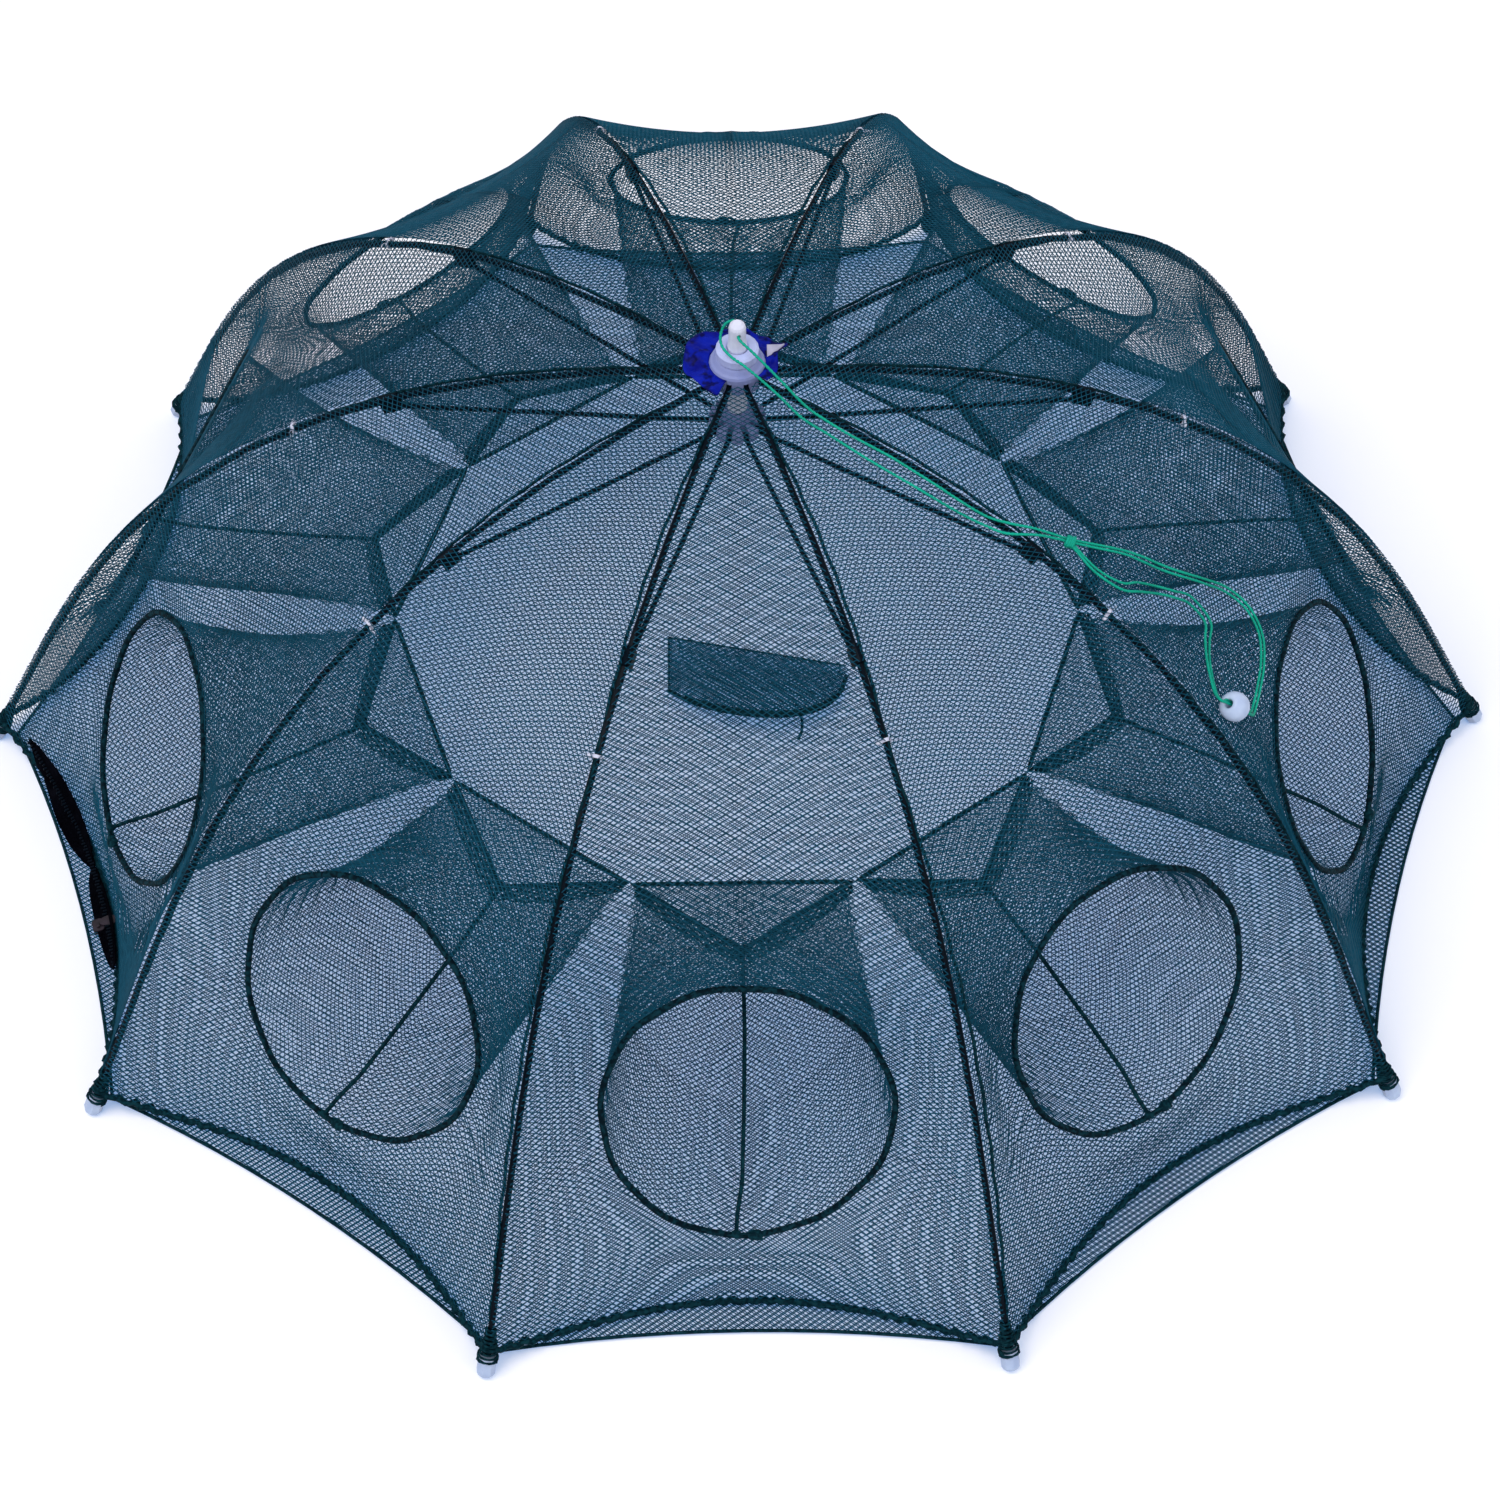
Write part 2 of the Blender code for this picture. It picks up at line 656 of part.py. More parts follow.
def runner_mesh(work):
    """Hub that slides below the crown, with ten open slots for the stretchers' ends."""
    bore = STUB_RADIUS + PLUNGER_CLEARANCE
    low = -RUNNER_HALF_HEIGHT
    high = RUNNER_HALF_HEIGHT
    profile = [
        (bore, low - RUNNER_CUP),
        (RUNNER_CORE_RADIUS - RUNNER_EDGE, low - RUNNER_CUP),
        (RUNNER_CORE_RADIUS, low - RUNNER_CUP + RUNNER_EDGE),
        (RUNNER_CORE_RADIUS, low),
        (RUNNER_RADIUS - RUNNER_EDGE, low),
        (RUNNER_RADIUS, low + RUNNER_EDGE),
        (RUNNER_RADIUS, high - RUNNER_EDGE),
        (RUNNER_RADIUS - RUNNER_EDGE, high),
        (RUNNER_CORE_RADIUS, high),
        (RUNNER_CORE_RADIUS - RUNNER_EDGE, high + RUNNER_NECK),
        (bore, high + RUNNER_NECK),
    ]
    runner = turned(profile, 20, work)
    inner = RUNNER_CORE_RADIUS + 2 * GAP
    cuts = slots(inner, 2 * RUNNER_RADIUS, FORK_HALF, 2 * low, 2 * high)
    runner = combine(runner, cuts, "DIFFERENCE", work)
    runner.name = "runner"
    return runner


def plunger_mesh(work):
    """Post from the runner up through the crown, with a nipple and a cross hole for the cord."""
    low = RUNNER_HALF_HEIGHT + RUNNER_NECK + GAP
    top = RUNNER_DROP + CROWN_HEIGHT
    tip = top + NIPPLE_HEIGHT
    profile = [
        (0, low - STUB_LENGTH),
        (STUB_RADIUS - RUNNER_EDGE / 2, low - STUB_LENGTH),
        (STUB_RADIUS, low - STUB_LENGTH + RUNNER_EDGE / 2),
        (STUB_RADIUS, low),
        (PLUNGER_RADIUS, low),
        (PLUNGER_RADIUS, top + CROWN_EDGE),
        (NIPPLE_WAIST, top + NIPPLE_FLARE),
        (NIPPLE_WAIST, tip - NIPPLE_DOME),
        (NIPPLE_WAIST * math.cos(math.radians(30)), tip - NIPPLE_DOME / 2),
        (NIPPLE_WAIST * math.cos(math.radians(60)), tip),
        (0, tip),
    ]
    post = turned(profile, 12, work)
    place = (0, 0, NIPPLE_EYE_HEIGHT - RUNNER_HEIGHT)
    eye = cylinder(NIPPLE_EYE_RADIUS, 4 * NIPPLE_WAIST, place, NIPPLE_EYE_WAY)
    post = combine(post, [eye], "DIFFERENCE", work)
    post.name = "plunger"
    return post


def disc_point(u, v):
    """A point of the crumpled disc: u runs round it from lip to lip of its notch, v inwards."""
    angle = math.pi + (math.pi - DISC_NOTCH / 2) * u
    share = 1 - v
    inner = CROWN_RADIUS + 2 * GAP + NET_THICKNESS
    count, part, phase = DISC_RIM_RIPPLE
    radius = inner + (DISC_RADIUS * (1 + part * math.sin(count * angle + phase)) - inner) * share
    wave = sum(part * math.sin(count * angle + phase) for count, part, phase in DISC_RIPPLES)
    wave *= DISC_WAVE * share
    turn = angle - math.pi / 2 + DISC_NOTCH_FACES
    level = roof_edge(0)[1] + NET_THICKNESS + GAP + DISC_WAVE
    return Vector((radius * math.cos(turn), radius * math.sin(turn), level + wave))


def gore_mesh(work):
    """Roof and wall panel between two ribs, with a round hole for its hoop."""
    bm = bmesh.new()
    columns = HOOP_COLUMNS + 2
    rows = ROWS_ABOVE + HOOP_ROWS + 1
    bmesh.ops.create_grid(bm, x_segments=columns, y_segments=rows, size=1)
    side = HOOP_COLUMNS / columns
    top = 1 - 2 * ROWS_ABOVE / rows
    low = 2 / rows - 1
    middles = {face: face.calc_center_median() for face in bm.faces}
    block = [f for f, m in middles.items() if abs(m.x) < side and low < m.y < top]
    rim = {e for f in block for e in f.edges if sum(g in block for g in e.link_faces) == 1}
    for vert in bm.verts:
        vert.co = roof_place(vert.co.x, vert.co.y)
    bmesh.ops.delete(bm, geom=block, context="FACES")
    rim = [e for e in rim if e.is_valid]
    radius = HOOP_RADIUS + HOOP_WIRE_RADIUS + GAP
    ring = [bm.verts.new(hoop_point(2 * math.pi * k / HOOP_STEPS, radius)) for k in range(HOOP_STEPS)]
    hole = [bm.edges.new((a, b)) for a, b in zip(ring, ring[1:] + ring[:1])]
    bmesh.ops.bridge_loops(bm, edges=rim + hole)
    panel = thickened(bm, NET_THICKNESS, 0, work)
    panel.name = "gore"
    return panel


def hoop_point(turn, radius=HOOP_RADIUS):
    """A point of the hoop's wire: from its right side at 0, up and over."""
    return HOOP_CENTRE + radius * (Vector((math.cos(turn), 0, 0)) + math.sin(turn) * HOOP_UP)


def lip_point(turn):
    """A point of the funnel's lip: straight across above, and drawn down to a notch below."""
    corner = LIP_CORNER_RADIUS * math.sin(HALF_STEP) - LIP_CORD_RADIUS - 2 * GAP
    if turn <= math.pi:
        side = 1 - 2 * turn / math.pi
        notch = 0
    else:
        side = 2 * turn / math.pi - 3
        notch = 1 - abs(side)
    y = -LIP_CORNER_RADIUS * math.cos(HALF_STEP) - LIP_NOTCH * notch
    return Vector((side * corner, y, LIP_HEIGHT - LIP_NOTCH_DROP * notch))


def entry_mesh(work):
    """Wire hoop, net funnel and corded lip in one skin, with the string that holds the lip down."""
    rings = []
    for k in range(HOOP_STEPS):
        turn = 2 * math.pi * k / HOOP_STEPS
        outer = hoop_point(turn)
        inner = lip_point(turn)
        along = (inner - outer).normalized()
        tangent = hoop_point(turn + math.pi / 2) - HOOP_CENTRE
        normal = along.cross(tangent).normalized()
        if 2 * k % HOOP_STEPS:
            half = math.pi / HOOP_STEPS
            tangent = lip_point(turn + half) - lip_point(turn - half)
        lip_normal = along.cross(tangent).normalized()
        between = (normal + lip_normal).normalized()
        belly = max(FUNNEL_TOP_SAG, -FUNNEL_BELLY * math.sin(turn))
        middle = outer.lerp(inner, 0.5) - Vector((0, 0, belly))
        ring = []
        for angle in HOOP_SECTION:
            offset = along * math.cos(angle) + normal * math.sin(angle)
            ring.append(outer + HOOP_WIRE_RADIUS * offset)
        ring.append(middle - between * NET_THICKNESS / 2)
        for angle in LIP_SECTION:
            offset = along * math.cos(angle) + lip_normal * math.sin(angle)
            ring.append(inner + LIP_CORD_RADIUS * offset)
        ring.append(middle + between * NET_THICKNESS / 2)
        rings.append(ring)
    low = 1.5 * math.pi
    string = tube([lip_point(low), hoop_point(low)], STRING_RADIUS, work, tilt=STRING_TILT)
    skin = loft(rings, True, split=len(HOOP_SECTION) + 1 + len(LIP_SECTION) // 2)
    entry = welded(combine(skin, [string], "UNION", work))
    entry.name = "entry"
    return entry


def scallop():
    """The arc of the floor's edge before a gore: how far out its centre is, and its radius."""
    corner = TIP_RADIUS - FLOOR_INSET
    half = corner * math.sin(HALF_STEP)
    radius = (half**2 + FLOOR_SAG**2) / (2 * FLOOR_SAG)
    return corner * math.cos(HALF_STEP) - FLOOR_SAG + radius, radius


def floor_radius(angle):
    """Radius of the floor net's scalloped edge at an angle from the front."""
    centre, radius = scallop()
    local = (angle + HALF_STEP) % (2 * HALF_STEP) - HALF_STEP
    return centre * math.cos(local) - math.sqrt(radius**2 - (centre * math.sin(local)) ** 2)


def floor_mesh(work):
    """Flat net of diamond cells on the ground, out to its scalloped edge."""
    count = math.ceil(2 * TIP_RADIUS / FLOOR_CELL)
    bm = bmesh.new()
    bmesh.ops.create_grid(bm, x_segments=count, y_segments=count, size=count * FLOOR_CELL / 2)
    bmesh.ops.rotate(bm, verts=bm.verts, matrix=Matrix.Rotation(math.pi / 4, 3, "Z"))
    limit = FLOOR_TRIM * (TIP_RADIUS - FLOOR_INSET)
    outside = [f for f in bm.faces if f.calc_center_median().length > limit]
    bmesh.ops.delete(bm, geom=outside, context="FACES")
    edge = {v for e in bm.edges if e.is_boundary for v in e.verts}
    for v in edge:
        v.co = v.co.normalized() * floor_radius(math.atan2(v.co.x, -v.co.y))
    cells = bm.faces[:]
    bmesh.ops.inset_individual(bm, faces=cells, thickness=FLOOR_CORD / 2, use_even_offset=True)
    bmesh.ops.delete(bm, geom=cells, context="FACES")
    bmesh.ops.translate(bm, verts=bm.verts, vec=(0, 0, FLOOR_LIFT + FLOOR_THICKNESS / 2))
    floor = thickened(bm, FLOOR_THICKNESS, 0, work)
    floor.name = "floor_net"
    return floor


def pocket_point(u, v):
    """A point of the bait pocket: v runs from its sewn back edge to its open front."""
    front = POCKET_SIDE_DEPTH + (POCKET_DEPTH - POCKET_SIDE_DEPTH) * math.sqrt(1 - u * u)
    rise = POCKET_HEIGHT * (1 - u * u) * smooth(v)
    x = POCKET_PLACE[0] + u * POCKET_WIDTH / 2
    y = POCKET_PLACE[1] - front * v
    return Vector((x, y, FLOOR_TOP + 2 * GAP + NET_THICKNESS / 2 + rise))


def zip_frame(x):
    """Place on the zip's arc before the front gore, with its tangent and its way in."""
    centre, radius = scallop()
    angle = math.asin(x / (radius + ZIP_INSET))
    inward = Vector((math.sin(angle), math.cos(angle), 0))
    return inward * (radius + ZIP_INSET), Vector((inward.y, -inward.x, 0)), inward


def zip_mesh():
    """Tape with a waist, and the closed teeth along it, about the arc's centre."""
    base = FLOOR_TOP + GAP
    ridge = ZIP_TEETH_WIDTH / 2
    rings = []
    for k in range(ZIP_STATIONS + 1):
        share = k / ZIP_STATIONS
        place, _, inward = zip_frame(ZIP_START + (ZIP_END - ZIP_START) * share)
        width = ZIP_TAPE_END + (ZIP_TAPE_WIDTH - ZIP_TAPE_END) * math.sin(math.pi * share)
        width *= 1 - ZIP_WAIST * math.exp(-(((share - ZIP_WAIST_AT) / ZIP_WAIST_SPREAD) ** 2))
        half = max(width / 2, ridge + GAP)
        outline = [(-half, 0), (half, 0), (half, ZIP_TAPE), (ridge, ZIP_TAPE)]
        outline += [(ridge, ZIP_TAPE + ZIP_TEETH_HEIGHT), (-ridge, ZIP_TAPE + ZIP_TEETH_HEIGHT)]
        outline += [(-ridge, ZIP_TAPE), (-half, ZIP_TAPE)]
        rings.append([place + inward * w + Vector((0, 0, base + h)) for w, h in outline])
    return loft(rings, False)


def slider_mesh(work):
    """Saddle over the zip's teeth, with its pull tab, about the arc's centre."""
    base = FLOOR_TOP + 2 * GAP + ZIP_TAPE
    inside = ZIP_TEETH_WIDTH / 2 + GAP
    roof = ZIP_TEETH_HEIGHT
    height = roof + SLIDER_WALL
    body = block((SLIDER_LENGTH, 2 * (inside + SLIDER_WALL), height), (0, 0, height / 2))
    channel = block((2 * SLIDER_LENGTH, 2 * inside, 2 * roof), (0, 0, 0))
    body = combine(body, [channel], "DIFFERENCE", work)
    tab = block((TAB_LENGTH, TAB_WIDTH, TAB_THICKNESS), (TAB_LENGTH / 2, 0, height))
    body = combine(body, [tab], "UNION", work)
    place, tangent, inward = zip_frame(SLIDER_AT)
    turn = Matrix((tangent, inward, (0, 0, 1))).transposed().to_4x4()
    body.transform(Matrix.Translation(place + Vector((0, 0, base))) @ turn)
    body.name = "zip_slider"
    return body


class Roof:
    """The two gores that the pull cord lies on, to find the net below a place."""

    def __init__(self, gore):
        bm = bmesh.new()
        bm.from_mesh(gore)
        self.tree = BVHTree.FromBMesh(bm)
        bm.free()

    def below(self, x, y):
        """The net's highest point at x, y and its normal, or nothing over a seam."""
        for index in CORD_GORES:
            turn = to_gore(index)
            start = turn.inverted() @ Vector((x, y, 1))
            hit, normal, _, _ = self.tree.ray_cast(start, Vector((0, 0, -1)))
            if hit:
                return turn @ hit, turn.to_3x3() @ normal
        return None


def roof_spot(share):
    """A place over the net from its share of the ribs' reach, moved clear of the hoops."""
    spot = Vector((*share, 0)) * TIP_RADIUS
    reach = HOOP_RADIUS + HOOP_WIRE_RADIUS + CORD_RADIUS + CORD_HOOP_GAP
    for index in CORD_GORES:
        turn = to_gore(index)
        away = turn.inverted() @ spot - Vector((0, HOOP_CENTRE.y, 0))
        distance = math.hypot(away.x / reach, away.y / (reach * HOOP_UP.y))
        if distance < 1:
            spot = turn @ (Vector((0, HOOP_CENTRE.y, 0)) + away / distance)
    return spot.x, spot.y


def bead_frame(roof):
    """Centre of the bead on the net and the way of its bore, along the net."""
    foot, normal = roof.below(*roof_spot(BEAD_PLACE))
    way = Vector((math.cos(BEAD_HEADING), math.sin(BEAD_HEADING), 0))
    way = (way - normal * way.dot(normal)).normalized()
    return foot + normal * (BEAD_RADIUS + CORD_LIFT), way


def bead_mesh(centre, way, work):
    """Ball with a bore for the cord."""
    bm = bmesh.new()
    bmesh.ops.create_uvsphere(bm, u_segments=12, v_segments=8, radius=BEAD_RADIUS)
    bmesh.ops.translate(bm, verts=bm.verts, vec=centre)
    bore = cylinder(BEAD_BORE_RADIUS, 3 * BEAD_RADIUS, centre, way)
    bead = combine(mesh_of(bm, "bead"), [bore], "DIFFERENCE", work)
    bead.name = "cord_bead"
    return bead


def smooth_route(points, step):
    """Points along a smooth curve through the route's own points, at most about step apart."""
    route = []
    ends = [points[0]] + points + [points[-1]]
    for a, b, c, d in zip(ends, ends[1:], ends[2:], ends[3:]):
        pieces = max(1, round((c - b).length / step))
        for i in range(pieces):
            t = i / pieces
            square = (a * 2 - b * 5 + c * 4 - d) * t**2
            cube = (b * 3 - a - c * 3 + d) * t**3
            route.append((b * 2 + (c - a) * t + square + cube) / 2)
    route.append(points[-1])
    return route


def rest_on_roof(route, roof):
    """Raises the route's points where it would dip into the net, between them too."""
    lift = CORD_RADIUS + CORD_LIFT / 2
    for _ in range(CORD_PASSES):
        for a, b in zip(route, route[1:]):
            for share in (0, 0.25, 0.5, 0.75, 1):
                place = a.lerp(b, share)
                found = roof.below(place.x, place.y)
                if found:
                    rise = max(0.0, found[0].z + lift / found[1].z - place.z)
                    a.z += rise * (1 - share)
                    b.z += rise * share
    return route


def cord_mesh(roof, centre, way, work):
    """The pull cord: out along a rib, round through the bead, and home to the plunger."""
    lift = CORD_RADIUS + CORD_LIFT
    points = [Vector((x, y, HUB_PIN_HEIGHT + z)) for x, y, z in CORD_START]
    for share in CORD_OUT:
        hit, normal = roof.below(*roof_spot(share))
        points.append(hit + normal * lift)
    for share in CORD_IN_BEAD:
        points.append(centre + way * BEAD_RADIUS * share)
    for share in CORD_HOME:
        hit, normal = roof.below(*roof_spot(share))
        points.append(hit + normal * lift)
    points += [Vector((x, y, HUB_PIN_HEIGHT + z)) for x, y, z in CORD_FINISH]
    route = rest_on_roof(smooth_route(points, CORD_STEP), roof)
    length = sum((b - a).length for a, b in zip(route, route[1:]))
    print("pull cord", round(length, 3), "m long, with", len(route), "points")
    cord = tube(route, CORD_RADIUS, work, resolution=2)
    cord.name = "pull_cord"
    return cord


def build():
    for old in list(bpy.data.objects):
        bpy.data.objects.remove(old)
    trap = bpy.data.collections.new("folding_bait_trap")
    work = bpy.data.collections.new("cutters")
    bpy.context.scene.collection.children.link(trap)
    bpy.context.scene.collection.children.link(work)
    black = material("rib_black", (0.012, 0.014, 0.018), 0.45)
    net = material("net_teal", (0.012, 0.075, 0.105), 0.6)
    white = material("moulded_white", (0.78, 0.82, 0.90), 0.38)
    blue = material("disc_blue", (0.01, 0.03, 0.45), 0.4)
    zip_black = material("zip_black", (0.010, 0.010, 0.012), 0.55)
    green = material("cord_green", (0.01, 0.40, 0.22), 0.6)

    rib = rib_mesh(work)
    stretcher = stretcher_mesh(work)
    cap = cap_mesh(work)
    gore = gore_mesh(work)
    entry = entry_mesh(work)
    pin_radius, pin_height, _ = clip_pivot()
    for i in range(RIBS):
        number = f"{i + 1:02d}"
        rib_place = Matrix.Translation((HUB_PIN_RADIUS, 0, HUB_PIN_HEIGHT))
        add("rib_" + number, rib, trap, black, to_rib(i) @ rib_place)
        stretcher_place = Matrix.Translation((pin_radius, 0, pin_height))
        add("stretcher_" + number, stretcher, trap, black, to_rib(i) @ stretcher_place)
        cap_place = Matrix.Translation((TIP_RADIUS, 0, TIP_HEIGHT))
        add("tip_cap_" + number, cap, trap, white, to_rib(i) @ cap_place)
        add("gore_" + number, gore, trap, net, to_gore(i))
        add("entry_" + number, entry, trap, net, to_gore(i))
    add("crown", crown_mesh(work), trap, white, Matrix.Translation((0, 0, HUB_PIN_HEIGHT)))
    runner_place = Matrix.Translation((0, 0, RUNNER_HEIGHT))
    add("runner", runner_mesh(work), trap, white, runner_place)
    add("plunger", plunger_mesh(work), trap, white, runner_place)
    disc = sheet(DISC_STEPS, 2, disc_point, work)
    add("hub_disc", disc, trap, blue)
    add("floor_net", floor_mesh(work), trap, net)
    add("bait_pocket", sheet(POCKET_COLUMNS, POCKET_ROWS, pocket_point, work), trap, net)
    zip_place = to_gore(ZIP_GORE) @ Matrix.Translation((0, -scallop()[0], 0))
    add("zipper", zip_mesh(), trap, zip_black, zip_place)
    add("zip_slider", slider_mesh(work), trap, zip_black, zip_place)
    roof = Roof(gore)
    centre, way = bead_frame(roof)
    add("cord_bead", bead_mesh(centre, way, work), trap, white)
    add("pull_cord", cord_mesh(roof, centre, way, work), trap, green)
    print("tip radius", round(TIP_RADIUS, 4), "crown pin height", round(HUB_PIN_HEIGHT, 4))
    print("hoop centre", [round(c, 4) for c in HOOP_CENTRE], "up", [round(c, 3) for c in HOOP_UP])


build()
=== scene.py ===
import math
import bmesh
import bpy
import numpy as np
from mathutils import Matrix, Vector, noise
from mathutils.bvhtree import BVHTree


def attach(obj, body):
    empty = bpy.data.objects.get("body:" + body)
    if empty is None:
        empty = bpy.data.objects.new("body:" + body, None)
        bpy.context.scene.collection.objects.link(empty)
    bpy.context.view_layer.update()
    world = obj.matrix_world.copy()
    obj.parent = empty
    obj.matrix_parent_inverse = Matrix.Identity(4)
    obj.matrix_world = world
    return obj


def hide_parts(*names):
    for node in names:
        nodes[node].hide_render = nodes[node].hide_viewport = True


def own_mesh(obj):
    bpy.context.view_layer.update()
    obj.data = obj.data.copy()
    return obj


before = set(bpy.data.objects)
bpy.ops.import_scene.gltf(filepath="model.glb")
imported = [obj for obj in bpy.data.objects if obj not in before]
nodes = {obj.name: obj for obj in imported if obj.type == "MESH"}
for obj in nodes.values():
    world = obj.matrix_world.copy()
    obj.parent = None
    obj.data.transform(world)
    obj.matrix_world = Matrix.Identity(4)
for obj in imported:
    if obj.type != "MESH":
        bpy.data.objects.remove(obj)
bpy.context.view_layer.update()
scene = bpy.context.scene

# sizes that the nets and the cord share with the solids, in metres
ribCount = 10
halfStep = math.pi / ribCount
rib = {"length": 0.6136, "firstSlope": 0.5, "lastSlope": 62.7, "bend": 0.54, "stations": 1228,
    "pinRadius": 0.013, "tipHeight": 0.004618, "foldAngle": 45.0, "leastFold": 0.03}
roof = {"first": 0.00514, "last": 0.59951, "lift": 0.004, "sag": 0.0235, "sagFull": 0.8, "seamSag": 0.0135,
    "seamPower": 6, "cornerPower": 6, "seamFrom": 0.82, "seamHeight": 0.004, "edgeGap": 0.0006,
    "bands": [0.0, 0.17, 0.34, 0.5, 0.66, 0.83, 1.0]}
hoop = {"radius": 0.08, "wire": 0.002, "down": 0.784, "span": 0.08, "flatStart": 1.06, "flatEnd": 1.45}
funnel = {"corner": 0.211, "height": 0.115, "notch": 0.0385, "notchDrop": 0.0115, "cord": 0.001,
    "cornerGap": 0.0006, "topSag": 0.004, "belly": 0.018}


def smooth(t):
    t = np.clip(t, 0.0, 1.0)
    return t * t * (3 - 2 * t)


# a sum of waves: the size, count and shift of each
def ripple(waves, turn):
    return sum(size * np.sin(count * turn + shift) for size, count, shift in waves)


# the bowed rib, as a table of distance out and drop along its length
ribStations = np.linspace(0, rib["length"], rib["stations"])
ribSlopes = np.radians(rib["firstSlope"] + (rib["lastSlope"] - rib["firstSlope"])
                       * smooth(ribStations / rib["bend"]))
ribStep = ribStations[1]
ribOut = np.concatenate([[0], np.cumsum(np.cos((ribSlopes[1:] + ribSlopes[:-1]) / 2)) * ribStep])
ribDrop = np.concatenate([[0], np.cumsum(np.sin((ribSlopes[1:] + ribSlopes[:-1]) / 2)) * ribStep])
pinHeight = rib["tipHeight"] + ribDrop[-1]
tipRadius = rib["pinRadius"] + ribOut[-1]


# distance out, height and slope of a rib's middle line, a distance s along it
def ribAt(s):
    return (rib["pinRadius"] + np.interp(s, ribStations, ribOut),
            pinHeight - np.interp(s, ribStations, ribDrop), np.interp(s, ribStations, ribSlopes))


def roofEdge(v):
    out, height, slope = ribAt(roof["first"] + (roof["last"] - roof["first"]) * v)
    return out + np.sin(slope) * roof["lift"], height + np.cos(slope) * roof["lift"]


seamDrop = roofEdge(1.0)[1] - roof["seamHeight"]


# a place on the front gore's net: u runs from rib to rib, v from the crown to the hem
def roofCurve(u, v):
    radius, height = roofEdge(v)
    across = 1 - u * u
    inward = across * (roof["sag"] * smooth(v / roof["sagFull"]) + roof["seamSag"] * v ** roof["seamPower"])
    low = smooth((v - roof["seamFrom"]) / (1 - roof["seamFrom"]))
    lower = (1 - u ** roof["cornerPower"]) * seamDrop * low
    x = u * (radius * math.sin(halfStep) - roof["edgeGap"])
    return np.stack([x, inward - radius * math.cos(halfStep), height - lower], -1)


def onMiddle(v):
    return roofCurve(np.array(0.0), np.array(v))


hoopCentre = onMiddle(hoop["down"])
hoopUp = onMiddle(hoop["down"] - hoop["span"]) - onMiddle(hoop["down"] + hoop["span"])
hoopUp /= np.linalg.norm(hoopUp)
hoopOut = np.cross([1, 0, 0], hoopUp)


# the same place, drawn flat round the hoop
def roofPlace(u, v):
    p = roofCurve(u, v)
    away = np.linalg.norm(p - hoopCentre, axis=-1) / (hoop["radius"] + hoop["wire"])
    share = 1 - smooth((away - hoop["flatStart"]) / (hoop["flatEnd"] - hoop["flatStart"]))
    return p - hoopOut * (((p - hoopCentre) @ hoopOut) * share)[..., None]


def inMouth(points):
    return np.linalg.norm(points - hoopCentre, axis=-1) < hoop["radius"]


def hoopPlace(turn, radius=hoop["radius"]):
    turn = np.asarray(turn, float)[..., None]
    return hoopCentre + radius * (np.cos(turn) * np.array([1.0, 0, 0]) + np.sin(turn) * hoopUp)


def lipPlace(turn):
    turn = np.asarray(turn, float) % (2 * math.pi)
    corner = funnel["corner"] * math.sin(halfStep) - funnel["cord"] - funnel["cornerGap"]
    upper = turn <= math.pi
    side = np.where(upper, 1 - 2 * turn / math.pi, 2 * turn / math.pi - 3)
    notch = np.where(upper, 0.0, 1 - np.abs(side))
    return np.stack([side * corner, -funnel["corner"] * math.cos(halfStep) - funnel["notch"] * notch,
                     funnel["height"] - funnel["notchDrop"] * notch], -1)


# a place on the front funnel: turn goes round it, w runs from the hoop to the lip
def funnelPlace(turn, w):
    turn, w = np.broadcast_arrays(np.asarray(turn, float), np.asarray(w, float))
    belly = np.maximum(funnel["topSag"], -funnel["belly"] * np.sin(turn)) * 4 * w * (1 - w)
    p = hoopPlace(turn) * (1 - w)[..., None] + lipPlace(turn) * w[..., None]
    p[..., 2] -= belly
    return p


# area of each cell of a grid of places
def cellAreas(p):
    a = p[1:, :-1] - p[:-1, :-1]
    b = p[:-1, 1:] - p[:-1, :-1]
    return np.linalg.norm(np.cross(a, b), axis=-1)


# a place before the front gore, on the next gore
def onNextGore(points):
    c, s = math.cos(2 * halfStep), math.sin(2 * halfStep)
    return np.asarray(points) @ np.array([[c, s, 0], [-s, c, 0], [0, 0, 1]])


def ribTurn(k):
    return halfStep * (2 * k + 1) - math.pi / 2


# how much of its width a net that rides on a rib keeps when the frame is folded
def gathered(point):
    out = math.hypot(point[0], point[1]) * math.cos(halfStep)
    fold = math.radians(rib["foldAngle"])
    folded = (rib["pinRadius"] + (out - rib["pinRadius"]) * math.cos(fold)
              + (point[2] - pinHeight) * math.sin(fold))
    return max(rib["leastFold"], min(1.0, folded / out))


def addObject(name, data):
    made = bpy.data.objects.new(name, data)
    scene.collection.objects.link(made)
    return made


def placeFacing(made, place, back):
    made.location = place
    made.rotation_mode = "QUATERNION"
    made.rotation_quaternion = (-back).to_track_quat("-Z", "Y")


camera = {"azimuth": -0.79, "elevation": 52.75, "distance": 2.094, "lens": 78.12, "sensor": 36,
    "shiftX": 0.0085, "shiftY": -0.0183}


def makeCamera():
    data = bpy.data.cameras.new("camera")
    data.lens = camera["lens"]
    data.sensor_width = camera["sensor"]
    data.shift_x = camera["shiftX"]
    data.shift_y = camera["shiftY"]
    made = addObject("camera", data)
    a, e = math.radians(camera["azimuth"]), math.radians(camera["elevation"])
    back = Vector((math.sin(a) * math.cos(e), -math.cos(a) * math.cos(e), math.sin(e)))
    placeFacing(made, Vector((0, 0, rib["tipHeight"])) + back * camera["distance"], back)
    scene.camera = made


makeCamera()
scene.view_settings.view_transform = "Standard"


